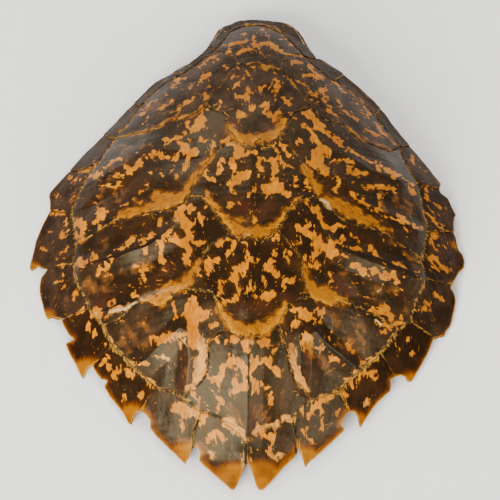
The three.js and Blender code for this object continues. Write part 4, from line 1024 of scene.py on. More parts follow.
def lattice_over(low, high, spacing):
    """Rows of points, every other row moved by half a step."""
    rows = []
    for k, y in enumerate(np.arange(low[1], high[1], spacing * ROW_STEP)):
        x = np.arange(low[0] + (k % 2) * spacing / 2, high[0], spacing)
        rows.append(np.stack([x, np.full_like(x, y)], 1))
    return np.vstack(rows)


def flat_net(ring, spacing):
    inner = pulled_in(ring, INSET)
    keep = to_line(inner, ring, True)[0] > LEAST_INSET
    lattice = lattice_over(ring.min(0), ring.max(0), spacing)
    lattice = lattice[inside(lattice, ring)]
    lattice = lattice[to_line(lattice, ring, True)[0] > INSET + spacing * 0.5]
    points = np.vstack([ring, inner[keep & inside(inner, ring)], lattice])
    loop = [(i, (i + 1) % len(ring)) for i in range(len(ring))]
    verts, _, faces, *_ = geometry.delaunay_2d_cdt([Vector(p) for p in points], loop, [], 1, 1e-5)
    net = np.array([(v[0], v[1]) for v in verts])
    tris = np.array([f for f in faces if len(f) == 3])
    a, b, c = (net[tris[:, k]] for k in range(3))
    turn = (b[:, 0] - a[:, 0]) * (c[:, 1] - a[:, 1]) - (b[:, 1] - a[:, 1]) * (c[:, 0] - a[:, 0])
    tris[turn < 0] = tris[turn < 0][:, ::-1]
    return net, tris[np.abs(turn) > 1e-7]


test_net, test_tris = flat_net(square, SPACING)
print("a square of 10 mm gets", len(test_net), "points and", len(test_tris), "triangles")

# %% Two skins and a wall
BOX_ROOM = 0.15     # every piece stays this far inside the box of the solids, except at the foot
BOX_LOW = np.array([v / MM for v in cad_low]) + np.array([BOX_ROOM, BOX_ROOM, 0])
BOX_HIGH = np.array([v / MM for v in cad_high]) - BOX_ROOM


def border(tris):
    """The directed edges that belong to one triangle only."""
    edges = np.vstack([tris[:, [0, 1]], tris[:, [1, 2]], tris[:, [2, 0]]])
    there = set(map(tuple, edges.tolist()))
    return np.array([e for e in there if (e[1], e[0]) not in there])


print("and", len(border(test_tris)), "edges for its wall")


# %% A closed piece
def closed_piece(name, tris, top, bottom, values, sharp=38):
    """A mesh piece from two skins over one net, with named values at its points."""
    used = np.unique(tris)
    remap = np.full(len(top), -1)
    remap[used] = np.arange(len(used))
    tris, top, bottom = remap[tris], top[used], bottom[used]
    n, walls = len(top), border(tris)
    a, b = walls[:, 0], walls[:, 1]
    sheets = np.vstack([tris, tris[:, ::-1] + n, np.stack([a, a + n, b + n], 1), np.stack([a, b + n, b], 1)])
    places = np.clip(np.vstack([top, bottom]), BOX_LOW, BOX_HIGH) * MM
    mesh = bpy.data.meshes.new(name)
    mesh.from_pydata(places.tolist(), [], sheets.tolist())
    mesh.shade_smooth()
    for key, value in values.items():
        kind = "FLOAT_VECTOR" if value.ndim == 2 else "FLOAT"
        slot = mesh.attributes.new(key, kind, "POINT")
        slot.data.foreach_set("vector" if value.ndim == 2 else "value", np.concatenate(
            [value[used], value[used]]).astype(np.float32).ravel())
    mesh.set_sharp_from_angle(angle=math.radians(sharp))
    piece = bpy.data.objects.new(name, mesh)
    bpy.context.scene.collection.objects.link(piece)
    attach(piece, "root")
    return piece


print("the box leaves", (BOX_HIGH - BOX_LOW).round(1), "mm for the pieces")

# %% [markdown]
# ## What the material needs to know
# A material can't see which edge of a plate it is near or where the plate began to grow, so the mesh tells
# it through named values at its points: distances to the edges, depth inside the strokes, and a pair of
# coordinates, one round the growth centre and one away from it.

# %% Distances to a plate's edges
OUT_OF_REACH = 99.0


def edge_gaps(net, ring, plate):
    """Distances to the outline, the free edge, the rim and the edges that lie shut against a neighbour."""
    rim, outline = plate["rim"], plate["ring"]
    edge = to_line(net, ring, True)[0]
    free = to_line(net, plate["free"])[0]
    rim_gap = np.full(len(net), OUT_OF_REACH) if rim is None else to_line(net, rim)[0]
    shut = outline[to_line(outline, plate["free"])[0] > 0.1]
    if rim is not None:
        shut = shut[to_line(shut, rim)[0] > 0.1]
    shut = np.min(np.linalg.norm(net[:, None] - shut[None], axis=2), 1)
    return edge, free, rim_gap, shut


gaps = edge_gaps(probe + (0, 270), plates["nuchal_scute"]["ring"], plates["nuchal_scute"])
print("a place on the nuchal is this far from its edges:", [round(float(gap[0]), 1) for gap in gaps], "mm")

# %% Coordinates of growth
STREAK_REACH = 60   # distance at which one radian of turn counts as this many millimetres
SEED_STEP = 7.3     # moves the noises of each plate apart


def growth_places(net, ring, plate, seed):
    away = net - plate["growth"]
    to_middle = ring.mean(0) - plate["growth"]
    turn = np.arctan2(away[:, 1], away[:, 0]) - math.atan2(to_middle[1], to_middle[0])
    turn = (turn + math.pi) % (2 * math.pi) - math.pi
    out = np.linalg.norm(away, axis=1)
    return np.stack([turn * STREAK_REACH, out, np.full(len(net), seed * SEED_STEP)], 1)


print("across, out and seed:", growth_places(probe, square, {"growth": square[0]}, 1)[0].round(1))

# %% Every plate
FOOT_WIDTH = 10
TAPER = 8           # the plates thin out over this width at the rim
MARKS = {           # value's name: its strokes, and how far the wander may pull them about
    "amber": (AMBER, 1), "gold": (GOLD, 1), "peach": (PAINTED_SHEEN_STROKES, 1), "smoke": (BROWN, 1), "red": (RED, 1),
    "straw": (STRAW, 0.3), "crack": (CRACK_AND_SHADE_STROKES, 0.2), "chalk": (CHALK_AND_HIGHLIGHTS, 0.3),
}


def make_plate(name, plate, seed):
    ring, on_rim = pulled_in(plate["ring"], SEAM_GAP / 2), plate["rim"] is not None
    net, tris = flat_net(ring, SPACING)
    edge, free, rim_gap, shut = edge_gaps(net, ring, plate)
    top = off_dome(net, relief(net, plate, edge, free, shut))
    bottom = off_dome(net, -(SCUTE_THICK - (SCUTE_THICK - TIP_THICK) * np.clip(1 - rim_gap / TAPER, 0, 1)))
    if "marginal" in name and name.endswith(("_6", "_7", "_8")):
        bottom[(rim_gap < FOOT_WIDTH) & (shut > 3) & (free > 3), 2] = 0
    bottom[:, 2] = np.maximum(bottom[:, 2], 0)
    grow = growth_places(net, ring, plate, seed)
    width, reach = rim_gold(name)
    values = {"grow": grow, "edge": edge, "free": free}
    values |= {key: depth_inside(net, strokes, pull) for key, (strokes, pull) in MARKS.items()}
    values["tipgold"] = (np.maximum(width - rim_gap, reach - grow[:, 1]) if on_rim
                         else np.full(len(net), FAR))
    piece = closed_piece(name.replace("scute", "plate"), tris, top, bottom, values)
    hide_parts(name)
    return piece


horn_pieces = {name: make_plate(name, plate, seed) for seed, (name, plate) in enumerate(plates.items())}
total = sum(len(piece.data.polygons) for piece in horn_pieces.values())
print(len(horn_pieces), "plates of horn,", total, "triangles")

# %% [markdown]
# ## The bony shield
# Under the horn lies one bowl of bone. Seen from below it shows the backbone as a ridge down the middle and
# eight pairs of ribs that run out to the edge, webbed together by thin bone. It is built like a plate,
# with the ribs and the row of vertebrae as swellings on the underside.

# %% Bone: outline and ribs
BED_GAP = 1.5
BONE_THICK = 5
BONE_REACH = 0.9    # how far out the bone goes, as a share of the horn's edge
BONE_SPACING = 2.6
RIB_PAIRS = 8
RIB_FRONT, RIB_REAR, RIB_SWEEP = 178, -176, 0.1
RIB_HEIGHT, RIB_WIDTH, RIB_ROOT_WIDTH = 6.2, 7.5, 2.5
SPINE_HEIGHT, SPINE_WIDTH = 7.5, 8


def rib_root(rib):
    return RIB_FRONT + (RIB_REAR - RIB_FRONT) * rib / (RIB_PAIRS - 1)


def bone_relief(plan, edge):
    """How far the bone stands down from its smooth inside, and how near each place is to a rib."""
    x, y = plan[:, 0], plan[:, 1]
    swell, near_rib = np.zeros(len(plan)), np.zeros(len(plan))
    for rib in range(RIB_PAIRS):
        root = rib_root(rib)
        line = root + (root - CENTRE_Y) * RIB_SWEEP * np.abs(x) / 100
        width = RIB_WIDTH + RIB_ROOT_WIDTH * np.exp(-np.abs(x) / 30)
        hump = np.exp(-((y - line) / width) ** 2)
        swell += RIB_HEIGHT * np.clip(1 - np.abs(x) / 300, 0, 1) * hump * np.clip((edge - 3) / 14, 0, 1)
        near_rib = np.maximum(near_rib, hump)
    beads = 0.8 + 0.2 * np.cos((y - rib_root(0)) / (RIB_FRONT - RIB_REAR) * 2 * math.pi * (RIB_PAIRS - 1))
    spine = np.exp(-(np.abs(x) / SPINE_WIDTH) ** 2.4) * np.clip((edge - 6) / 20, 0, 1)
    swell = np.maximum(swell, SPINE_HEIGHT * spine * beads)
    swell += 0.3 * waves(x, y, 14, 61) + 0.15 * waves(x, y, 5, 62) - 0.8 * np.clip(1 - edge / 4, 0, 1) ** 2
    return swell, np.maximum(near_rib, spine)


print("ribs leave the spine at", [round(rib_root(rib)) for rib in range(RIB_PAIRS)], "mm")

# %% Bone: the piece
turns = np.linspace(-math.pi, math.pi, 900, endpoint=False)
reach = BONE_REACH * along(RIM_RADIUS, np.abs(turns) / math.pi)
bone_ring = np.stack([-np.sin(turns) * reach, CENTRE_Y + np.cos(turns) * reach], 1)
bone_ring = pulled_in(bone_ring, 0.8) + 0.5 * waves(bone_ring[:, 0], bone_ring[:, 1], 12, 63)[:, None] * 0.6
net, tris = flat_net(bone_ring, BONE_SPACING)
edge = to_line(net, bone_ring[::4], True)[0]
swell, near_rib = bone_relief(net, edge)
upper = -SCUTE_THICK - BED_GAP
bone = closed_piece(
    "bone_shield", tris, off_dome(net, np.full(len(net), upper)), off_dome(net, upper - BONE_THICK - swell),
    {"edge": edge, "rib": near_rib})
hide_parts("bony_carapace")
print("bone:", len(bone.data.polygons), "triangles")

# %% [markdown]
# ## Shader maths as sums
# The look of horn is built from many small masks. Wiring each Math node by hand hides the idea, so one
# small class wraps a socket and lets Python write `1 - mask` or `a * b + c`. Each operator adds its node.

# %% A socket that can be added and multiplied
class Wire:
    def __init__(self, finish, socket):
        self.finish, self.socket = finish, socket

    def maths(self, operation, first, second, clamp=False):
        return self.finish.node("ShaderNodeMath", {"operation": operation, "use_clamp": clamp},
                                _0=first, _1=second)

    def __add__(self, other): return self.maths("ADD", self, other)
    def __radd__(self, other): return self.maths("ADD", other, self)
    def __sub__(self, other): return self.maths("SUBTRACT", self, other)
    def __rsub__(self, other): return self.maths("SUBTRACT", other, self)
    def __mul__(self, other): return self.maths("MULTIPLY", self, other)
    def __rmul__(self, other): return self.maths("MULTIPLY", other, self)
    def __truediv__(self, other): return self.maths("DIVIDE", self, other)
    def __rtruediv__(self, other): return self.maths("DIVIDE", other, self)
    def max(self, other): return self.maths("MAXIMUM", self, other)
    def clip(self): return self.maths("ADD", self, 0.0, clamp=True)

    def step(self, low, high):
        """0 below low, 1 above high and an even rise between."""
        return self.maths("MULTIPLY", self - low, 1 / (high - low), clamp=True)

    def soft(self, low, high):
        """The same with eased ends."""
        t = self.step(low, high)
        return t * t * (3 - 2 * t)


print("sums a socket can take part in:", [name for name in vars(Wire) if name.startswith("__r")])

# %% [markdown]
# ## One way to add a node
# Materials and the studio's backdrop are both node trees. One small class holds a tree and one method that
# adds a node of any kind, so the recipes below read as recipes. Its few helpers name the
# steps that come up all the time: a value stored in the mesh, a noise, and one colour laid over another.

# %% A tree and its helpers
class Finish:
    def __init__(self, tree):
        self.tree = tree
        self.shader = next(n for n in tree.nodes if n.type in ("BSDF_PRINCIPLED", "BACKGROUND"))

    def feed(self, socket, value):
        if isinstance(value, Wire):
            self.tree.links.new(value.socket, socket)
        else:
            socket.default_value = value

    def node(self, kind, settings=None, out=0, **sockets):
        """Any node: its settings first, then its sockets by name or by number as in _0, and one output."""
        node = self.tree.nodes.new(kind)
        for key, value in (settings or {}).items():
            setattr(node, key, value)
        for key, value in sockets.items():
            name = key.replace("_", " ").strip()
            self.feed(node.inputs[int(name) if name.isdigit() else name], value)
        return Wire(self, node.outputs[out])

    def value(self, name):
        return self.node("ShaderNodeAttribute", {"attribute_name": name}, out="Fac")

    def place(self):
        return self.node("ShaderNodeTexCoord", out="Object")

    def split(self, vector):
        first = self.node("ShaderNodeSeparateXYZ", Vector=vector)
        return [Wire(self, socket) for socket in first.socket.node.outputs]

    def combine(self, x, y, z):
        return self.node("ShaderNodeCombineXYZ", X=x, Y=y, Z=z)

    def mix(self, mask, under, over):
        """One colour laid over another through a mask."""
        return self.node("ShaderNodeMix", {"data_type": "RGBA"}, out=2, _0=mask, _6=under, _7=over)

    def noise(self, vector, scale=1.0, detail=2.0, rough=0.55, twist=0.0):
        return self.node("ShaderNodeTexNoise", Vector=vector, Scale=scale, Detail=detail, Roughness=rough,
                         Distortion=twist)


def new_finish(name):
    material = bpy.data.materials.new(name)
    material.use_nodes = True
    return material, Finish(material.node_tree)


print("steps a finish offers:", [name for name in vars(Finish) if not name.startswith("_")])

# %% Tints
def tint(red, green, blue):
    """A colour as the shares of red, green and blue light that the surface sends back."""
    return (red, green, blue, 1.0)


def sent_back(*tints):
    """How much of the light each tint sends back, as the eye weighs it."""
    return [f"{0.213 * red + 0.715 * green + 0.072 * blue:.1%}" for red, green, blue, _ in tints]


print("a middle grey sends back", *sent_back(tint(0.18, 0.18, 0.18)))

# %% [markdown]
# ## Tortoiseshell
# Horn is a clear amber stuff with clouds of brown pigment in it. Light enters the amber, comes back golden,
# and dies in the clouds. Real translucency would cost much time in these thin plates and change the picture
# little, so the depth is told by colour alone: gold where the horn is clear, red-brown where it
# thins out towards a cloud, nearly black inside. Fibres run outwards from the growth centre of each plate.

# %% Noises along the growth of a plate
TEAR, BITE, FRINGE = 6, 4.5, 8      # how far each noise moves the border of a patch, in millimetres


class Grain:
    """The noises that all tones of one finish share."""

    def __init__(self, f):
        across, out, seed = f.split(f.node("ShaderNodeAttribute", {"attribute_name": "grow"}, out="Vector"))
        self.big = f.noise(f.combine(across * 0.045, out * 0.035, seed))
        self.torn = f.noise(f.combine(across * 0.17, out * 0.09, seed + 3), detail=3, twist=0.5)
        self.fray = f.noise(f.combine(across * 0.42, out * 0.12, seed + 5), detail=3, rough=0.6, twist=0.3)
        self.fibre = f.noise(f.combine(across * 1.3, out * 0.07, seed + 9), detail=3, rough=0.6)
        self.cloud = f.noise(f.place(), scale=38, detail=3, rough=0.6)
        self.fine = f.noise(f.place(), scale=620, detail=1)
        self.blob = f.node("ShaderNodeTexVoronoi", {"feature": "SMOOTH_F1"}, Vector=f.place(), Scale=125,
                           Smoothness=0.35)
        self.tear = (self.torn - 0.5) * TEAR + (self.blob - 0.42) * BITE + (self.fray - 0.5) * FRINGE
        self.edge, self.free = f.value("edge"), f.value("free")


print("a torn border moves up to", round((TEAR + BITE + FRINGE) / 2, 1), "mm")

# %% [markdown]
# ### Dark pigment
# The clouds are nearly black with a brown cast. Some are redder, and some are smoky and half clear. Each
# has a tint of its own, and the noises say where one gives way to the next.

# %% Dark
PIGMENT, PIGMENT_THIN = tint(0.014, 0.006, 0.002), tint(0.03, 0.011, 0.003)
PIGMENT_RED, SMOKE = tint(0.038, 0.0105, 0.004), tint(0.13, 0.045, 0.008)


def dark_horn(f, g):
    dark = f.mix(g.cloud.soft(0.42, 0.68), PIGMENT, PIGMENT_THIN)
    reddish = f.value("red") + (g.big - 0.5) * 26 + (g.fibre - 0.5) * 22
    dark = f.mix(reddish.soft(-6, 9), dark, PIGMENT_RED)
    smoke = (f.value("smoke") + g.tear * 0.8).soft(-2.5, 3.0) * (0.3 + 0.7 * g.torn.soft(0.4, 0.62))
    return f.mix(smoke, dark, SMOKE)


print("dark horn sends back", *sent_back(PIGMENT, PIGMENT_THIN, PIGMENT_RED, SMOKE))

# %% [markdown]
# ### Clear amber
# A patch begins where its stored depth, torn by the noises, passes zero. Round blobs of pigment bite into
# it, so a cell noise has its share in the tearing. Half-clear horn makes a faint halo round each patch, and
# thick horn is a deeper gold than thin. Where the fibres fray strongly, freckles show with no stroke at all.

# %% Amber
CLEAR_DIM, CLEAR_FULL = tint(0.32, 0.09, 0.0002), tint(0.51, 0.17, 0.0002)
CLEAR_PALE, CLEAR_FIBRE = tint(0.66, 0.24, 0.0003), tint(0.26, 0.08, 0.0005)
CLEAR_DEEP, CLEAR_RIM, HALO = tint(0.33, 0.1, 0.0), tint(0.28, 0.085, 0.0005), tint(0.08, 0.022, 0.002)


def amber_horn(f, g, body, freckles):
    depth = f.value("amber") + g.tear - 0.25
    depth = depth.max((g.torn * 0.5 + g.fray * 0.5 - freckles) * 40 + f.value("amber") * 0.12)
    amber = f.mix(g.fray.soft(0.36, 0.62), CLEAR_DIM, CLEAR_FULL)
    amber = f.mix(g.cloud.soft(0.5, 0.68) * 0.7, amber, CLEAR_PALE)
    amber = f.mix(g.fibre.soft(0.5, 0.75) * 0.4, amber, CLEAR_FIBRE)
    amber = f.mix(g.big.soft(0.42, 0.6) * 0.55, amber, CLEAR_DEEP)
    amber = f.mix((1 - depth.soft(0.1, 1.6)) * 0.3, amber, CLEAR_RIM)
    body = f.mix(depth.soft(-4.0, -0.2) * g.big.soft(0.35, 0.65) * 0.32, body, HALO)
    return f.mix(depth.soft(-0.2, 0.12), body, amber)


print("amber sends back", *sent_back(CLEAR_DIM, CLEAR_FULL, CLEAR_PALE))

# %% [markdown]
# ### Golden margins and painted sheen
# Where the rear edge of a plate overlaps the next one, the horn is thick, worn and golden, with fibres that
# fan out to the edge. It is darker towards the plate and lighter towards the lip. On the rearmost flank
# plates and round the tail, a painted sheen lays pale peach over the horn where the lamps are mirrored, with
# brown fibres left in it.

# %% Gold
GOLD_DIM, GOLD_FULL, GOLD_FIBRE = tint(0.19, 0.055, 0.0), tint(0.37, 0.13, 0.0), tint(0.14, 0.038, 0.001)
GOLD_LIP, GOLD_SHADE = tint(0.46, 0.18, 0.001), tint(0.1, 0.028, 0.004)
# Tints of the painted sheen: pale peach over amber, and the brown fibres inside it.
PAINTED_SHEEN_TINT, PAINTED_SHEEN_FIBRE = tint(0.72, 0.29, 0.04), tint(0.2, 0.06, 0.01)


def golden_margin(f, g, body):
    lap = f.value("gold") - 0.8 + g.tear * 0.5 + (g.fibre - 0.5) * 6
    golden = f.mix(g.fray.soft(0.36, 0.6), GOLD_DIM, GOLD_FULL)
    golden = f.mix(g.fibre.soft(0.4, 0.7) * 0.7, golden, GOLD_FIBRE)
    golden = f.mix((1 - g.free.soft(0.5, 7)) * g.blob.soft(0.3, 0.6) * 0.8, golden, GOLD_LIP)
    body = f.mix(lap.soft(-4.0, -0.2) * 0.7, body, GOLD_SHADE)
    body = f.mix(lap.soft(-0.8, 1.2), body, golden)
    # Painted sheen: pale peach where the lamps' reflection lies over the rear plates, with brown fibres in
    # it.
    pale = f.mix((g.fibre * 0.5 + g.torn * 0.5).soft(0.4, 0.62), PAINTED_SHEEN_TINT, PAINTED_SHEEN_FIBRE)
    return f.mix((f.value("peach") + g.tear * 0.5).soft(-1.2, 1.2) * 0.85, body, pale)


# The pale tint printed last is the painted sheen.
print("gold sends back", *sent_back(GOLD_DIM, GOLD_FULL), "and thin horn", *sent_back(PAINTED_SHEEN_TINT))

# %% [markdown]
# ### Amber teeth
# At the tips the pigment gives out altogether. Its last feathers are red-brown, then the horn is golden,
# with a painted highlight along the very edge, where light shines through the thinnest horn.

# %% Teeth
TOOTH_LIGHT, TOOTH_DEEP, TOOTH_EDGE_HIGHLIGHT = tint(0.27, 0.09, 0.0), tint(0.16, 0.046, 0.0), tint(0.46, 0.18, 0.0008)
FEATHER_DARK, FEATHER_RED = tint(0.04, 0.011, 0.003), tint(0.11, 0.027, 0.001)


def amber_teeth(f, g, body, feather):
    tip = f.value("tipgold") - 1.0 + ((g.fibre - 0.5) * 1.4 + (g.fray - 0.5)) * feather
    body = f.mix(tip.soft(-0.5 * feather, -1.0) * 0.9, body, FEATHER_DARK)
    body = f.mix(tip.soft(-1.2, 1.5), body, FEATHER_RED)
    body = f.mix(tip.soft(0.8, 6.0), body, f.mix(g.cloud.soft(0.4, 0.7), TOOTH_LIGHT, TOOTH_DEEP))
    # Painted highlight along the very edge, standing in for light through the thinnest horn.
    edge_highlight = 1 - (g.edge + (g.fray - 0.5) * 2).soft(0.3, 1.3)
    return f.mix(edge_highlight * tip.soft(-2, 0), body, TOOTH_EDGE_HIGHLIGHT)


print("the teeth send back", *sent_back(TOOTH_LIGHT, TOOTH_DEEP, TOOTH_EDGE_HIGHLIGHT))

# %% [markdown]
# ### Crusts along the seams
# Old horn flakes off in straw-coloured crumbs. They gather in ribbons along the inner margin, in rags along
# every edge and in a broken line on each free lip. The seam itself is a dark thread.

# %% Crusts
STRAW_DIM, STRAW_FULL = tint(0.09, 0.042, 0.008), tint(0.42, 0.21, 0.03)
RAG, LIP, THREAD = tint(0.3, 0.135, 0.014), tint(0.4, 0.19, 0.025), tint(0.014, 0.007, 0.003)


def crusts(f, g, body):
    ribbon = f.value("straw") - 1.6 + (g.fray - 0.5) * 10 + (g.fine - 0.5) * 3.5 + (g.torn - 0.5) * 6
    body = f.mix(ribbon.soft(-0.6, 1.2) * 0.8, body, f.mix(g.fray.soft(0.36, 0.62), STRAW_DIM, STRAW_FULL))
    rag = 1 - (g.edge + (g.fray - 0.5) * 8 + (g.fine - 0.5) * 6).soft(0.1, 0.9)
    body = f.mix(rag * g.torn.soft(0.45, 0.58) * 0.8, body, RAG)
    lip = 1 - (g.free + (g.fine - 0.5) * 4 + (g.blob - 0.45) * 2).soft(0.2, 0.9)
    body = f.mix(lip * g.torn.soft(0.42, 0.54) * 0.8, body, LIP)
    thread = 1 - (g.edge + (g.fine - 0.5) * 1.5).step(0.02, 0.4)
    return f.mix(thread * g.cloud.soft(0.36, 0.56) * 0.8, body, THREAD)


print("straw sends back", *sent_back(STRAW_DIM, STRAW_FULL))

# %% [markdown]
# ### Wear, painted shade and painted highlights
# A few chalky spots, painted highlights on the lit edges of the neck notch, dark lines of painted shade on
# the crests and in the tail slots with a few real cracks, and pinpricks of dust come last, as they lie on
# top.

# %% Wear, painted shade and painted highlights
CHALK_AND_HIGHLIGHT_TINT, CRACK_AND_SHADE_TINT, SPECK = tint(0.5, 0.34, 0.15), tint(0.007, 0.004, 0.003), tint(0.6, 0.5, 0.35)


def wear(f, g, body):
    # Chalky flakes and a scratch, and painted highlights on the lit edges of the neck notch.
    chalk = (f.value("chalk") - 0.4 + g.tear * 0.35).soft(-0.3, 0.4)
    body = f.mix(chalk * (0.3 + 0.7 * g.fine.soft(0.4, 0.6)), body, CHALK_AND_HIGHLIGHT_TINT)
    # Near-black lines of painted shade on the crest faces and in the tail slots, with a few real cracks.
    body = f.mix((f.value("crack") + (g.fray - 0.5) * 4).soft(-0.5, 0.3), body, CRACK_AND_SHADE_TINT)
    return f.mix(g.fine.soft(0.765, 0.78) * 0.4, body, SPECK)


print("chalk and cracks send back", *sent_back(CHALK_AND_HIGHLIGHT_TINT, CRACK_AND_SHADE_TINT))

# %% [markdown]
# ### Skin
# The surface is smooth and slightly waxy, rougher at the edges. It mirrors the lamps weakly, because wear
# has left it full of tiny scratches, and what it mirrors takes a warm cast. A small bump carries the fibres
# and a grain too fine to model. How strongly it mirrors, the gloss, is one number for each finish.

# %% Skin
ROUGH, EDGE_ROUGH = 0.31, 0.25
BUMP_HEIGHT = 0.00045       # metres
HORN_IOR = 1.5
WARM_SHEEN = tint(1.0, 0.87, 0.52)


def skin(f, g, gloss):
    grain = f.noise(f.place(), scale=900, detail=2)
    rough = ROUGH + (g.cloud - 0.5) * 0.22 + (g.big - 0.5) * 0.16 + (grain - 0.5) * 0.1
    f.feed(f.shader.inputs["Roughness"], rough + (1 - g.edge.step(0.2, 2.5)) * EDGE_ROUGH)
    height = g.fibre * 0.4 + g.fray * 0.4 + g.cloud * 0.6 + grain * 0.2 + g.fine * 0.25 + g.torn * 0.4
    f.feed(f.shader.inputs["Normal"],
           f.node("ShaderNodeBump", Strength=0.5, Distance=BUMP_HEIGHT, Height=height))
    f.shader.inputs["IOR"].default_value = HORN_IOR
    f.shader.inputs["Specular IOR Level"].default_value = gloss
    f.shader.inputs["Specular Tint"].default_value = WARM_SHEEN


print("the bump is", BUMP_HEIGHT / MM, "mm high")

# %% [markdown]
# ### Five finishes from one recipe
# Not all of the shell is worn alike. The rear of the back still shines, while the front and the rim are
# dull from rubbing and carry a thin greyish film, partly dust and partly a painted sheen that lightens the
# dark horn. So the same recipe is mixed five times: with more or less gloss, with or without teeth of clear
# amber and their feathers, and with or without that film. A lower freckles number lets more small spots of
# clear horn through.

# %% Horn
# Partly dust, partly painted sheen: a greyish film that lightens the dark horn of the dull front plates and
# rim.
DUST_AND_SHEEN = tint(0.14, 0.105, 0.075)


def horn_finish(name, gloss, freckles, feather=0, dust_and_sheen=0):
    material, f = new_finish(name)
    g = Grain(f)
    body = golden_margin(f, g, amber_horn(f, g, dark_horn(f, g), freckles))
    if feather:
        body = amber_teeth(f, g, body, feather)
    body = wear(f, g, crusts(f, g, body))
    # Dust and painted sheen: a greyish film over the dark horn, patchy with the cloud noise.
    if dust_and_sheen:
        body = f.mix(dust_and_sheen * (0.5 + g.cloud.soft(0.35, 0.65)), body, DUST_AND_SHEEN)
    f.feed(f.shader.inputs["Base Color"], body)
    skin(f, g, gloss)
    return material


plate_horn = horn_finish("plate_horn", gloss=0.2, freckles=0.6)
front_horn = horn_finish("front_horn", gloss=0.04, freckles=0.6, dust_and_sheen=0.13)
edge_horn = horn_finish("edge_horn", gloss=0.2, freckles=0.61, feather=8)
rubbed_horn = horn_finish("rubbed_horn", gloss=0.04, freckles=0.62, feather=8)
worn_horn = horn_finish("worn_horn", gloss=0.02, freckles=0.605, feather=4, dust_and_sheen=0.065)
print("the horn of the rim uses", len(edge_horn.node_tree.nodes), "nodes")

# %% Which plate gets which
RIM_FINISH = [worn_horn] * 8 + [rubbed_horn] * 2 + [edge_horn] * 2      # from the neck to the tail


def finish_of(name):
    if name == "nuchal_scute":
        return worn_horn
    if "vertebral" in name or "costal" in name:
        return front_horn if name.endswith("_1") or name == "vertebral_scute_2" else plate_horn
    return RIM_FINISH[11 if "supracaudal" in name else int(name.rsplit("_", 1)[1]) - 1]


for name, piece in horn_pieces.items():
    piece.data.materials.append(finish_of(name))
print({finish.name: finish.users for finish in (plate_horn, front_horn, edge_horn, rubbed_horn, worn_horn)})

# %% [markdown]
# ## Bone
# Dry bone is matt and ivory, browner where fat and dust have settled between the ribs, with fine pores.
# Two noises and the nearness to a rib carry the colour, and a small bump gives the pores.

# %% Bone finish
IVORY, IVORY_DARK = tint(0.52, 0.42, 0.25), tint(0.36, 0.25, 0.12)
BONE_STAIN, BONE_PORE = tint(0.2, 0.12, 0.05), tint(0.1, 0.06, 0.025)
dry_bone, f = new_finish("dry_bone")
stain, pores = f.noise(f.place(), scale=24, detail=4, rough=0.6), f.noise(f.place(), scale=520, detail=2)
ivory = f.mix(stain.soft(0.35, 0.65), IVORY, IVORY_DARK)
ivory = f.mix((1 - f.value("rib").step(0, 1)) * stain.soft(0.4, 0.7) * 0.7, ivory, BONE_STAIN)
ivory = f.mix(pores.soft(0.6, 0.72) * 0.5, ivory, BONE_PORE)
f.feed(f.shader.inputs["Base Color"], ivory)
f.feed(f.shader.inputs["Roughness"], 0.62 + (stain - 0.5) * 0.25)
f.feed(f.shader.inputs["Normal"], f.node("ShaderNodeBump", Strength=0.5, Distance=0.0005,
                                         Height=pores * 0.7 + stain * 0.5))
bone.data.materials.append(dry_bone)
print("bone finish uses", len(dry_bone.node_tree.nodes), "nodes")

# %% [markdown]
# ## A plain table
# The shell lies on a pale, matt sheet, large enough to fill the view from every side.

# %% Floor
def flat_sheet(name, size, height):
    mesh = bpy.data.meshes.new(name)
    mesh.from_pydata([(-size, -size, height), (size, -size, height), (size, size, height),
                      (-size, size, height)], [], [(0, 1, 2, 3)])
    sheet = bpy.data.objects.new(name, mesh)
    bpy.context.scene.collection.objects.link(sheet)
    return sheet


TABLE_HALF, TABLE_DROP = 5.0, 0.0002    # metres; the drop keeps table and shell from flickering
floor = flat_sheet("table_sheet", TABLE_HALF, -TABLE_DROP)
pale_paper, f = new_finish("pale_paper")
paper = f.noise(f.place(), scale=60, detail=3)
f.feed(f.shader.inputs["Base Color"],
       f.mix(paper.soft(0.3, 0.7), tint(0.87, 0.875, 0.86), tint(0.9, 0.9, 0.885)))
f.shader.inputs["Roughness"].default_value = 0.8
floor.data.materials.append(pale_paper)
print("the table measures", *floor.dimensions[:2], "m")

# %% [markdown]
# ## Soft light
# The main light is a wide panel in front on the left, which throws a soft shadow to the far right. A weaker
# one stands on the right, and a third leans in from behind. They are also what the sloping plates mirror:
# the sheen on the rear of the shell is the image of the two panels in front.

# %% Lamps
LAMP_COLOUR = (1, 0.98, 0.945)


def panel(name, place, size, power):
    data = bpy.data.lights.new(name, "AREA")
    data.shape, data.size, data.size_y = "RECTANGLE", size[0], size[1]
    data.energy, data.color = power, LAMP_COLOUR
    lamp = bpy.data.objects.new(name, data)
    lamp.location = place
    lamp.rotation_euler = (Vector((0, 0, 0.05)) - Vector(place)).to_track_quat("-Z", "Y").to_euler()
    bpy.context.scene.collection.objects.link(lamp)
    return lamp


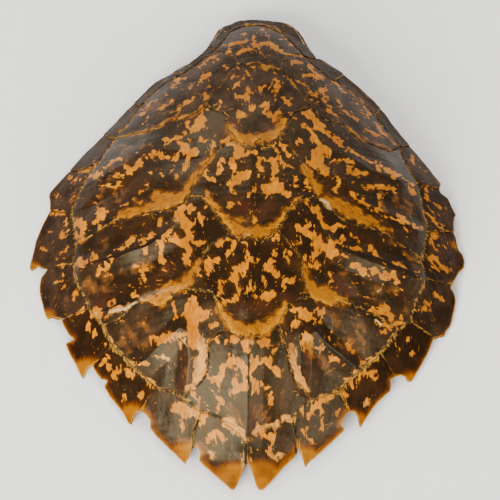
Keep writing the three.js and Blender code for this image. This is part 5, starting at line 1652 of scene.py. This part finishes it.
lamps = [panel("left_panel", (-2.26, -3.5, 2.6), (3.6, 2.8), 600),
         panel("right_panel", (3.3, -2.8, 2.4), (2.5, 2.2), 165),
         panel("back_panel", (-1.2, 3.5, 3.2), (4.0, 2.2), 150)]
print([lamp.data.energy for lamp in lamps], "W")

# %% [markdown]
# ## The backdrop
# Overhead the room is dim, so the top of the shell keeps its dark, deep tone. Behind the shell hangs
# a paler wall, which shows as a faint bloom on the slopes that fall away from the viewer.

# %% Backdrop
AMBIENT, WALL = 0.3, 1.2
world = bpy.data.worlds.new("studio")
world.use_nodes = True
f = Finish(world.node_tree)
ahead, rear, height = f.split(f.node("ShaderNodeTexCoord", out="Generated"))
f.shader.inputs["Color"].default_value = (1.0, 0.975, 0.94, 1)
f.feed(f.shader.inputs["Strength"], AMBIENT + WALL * rear.soft(0.2, 0.8) * height.soft(-0.05, 0.45))
bpy.context.scene.world = world
print("the wall is", round((AMBIENT + WALL) / AMBIENT, 1), "times as bright as the room")

# %% [markdown]
# ## Camera
# The view is steep, 65 degrees above the table, from the tail end. A long lens from three metres keeps
# the proportions calm. One number, the width of the view in millimetres per pixel of a 500 pixel frame,
# fixes the lens.

# %% Camera
ELEVATION, TURN = math.radians(65), math.radians(1.35)
DISTANCE, PER_PIXEL, SENSOR = 3000, 1.138, 36
FRAME = 500                     # pixels across
AIM_RIGHT, AIM_UP = -1, 5       # pixels from the plan's old origin to the middle of the frame
back = Vector((math.sin(TURN) * math.cos(ELEVATION), -math.cos(TURN) * math.cos(ELEVATION),
               math.sin(ELEVATION)))
side = Vector((math.cos(TURN), math.sin(TURN), 0))
up = back.cross(side)
aim = (side * AIM_RIGHT + up * AIM_UP) * PER_PIXEL - Vector(MIDDLE)
lens = SENSOR * DISTANCE / (FRAME * PER_PIXEL)
data = bpy.data.cameras.new("camera")
data.lens, data.sensor_width = lens, SENSOR
camera = bpy.data.objects.new("camera", data)
camera.location = (aim + back * DISTANCE) * MM
camera.rotation_euler = back.to_track_quat("Z", "Y").to_euler()
bpy.context.scene.collection.objects.link(camera)
bpy.context.scene.camera = camera
print("lens", round(lens, 1), "mm")
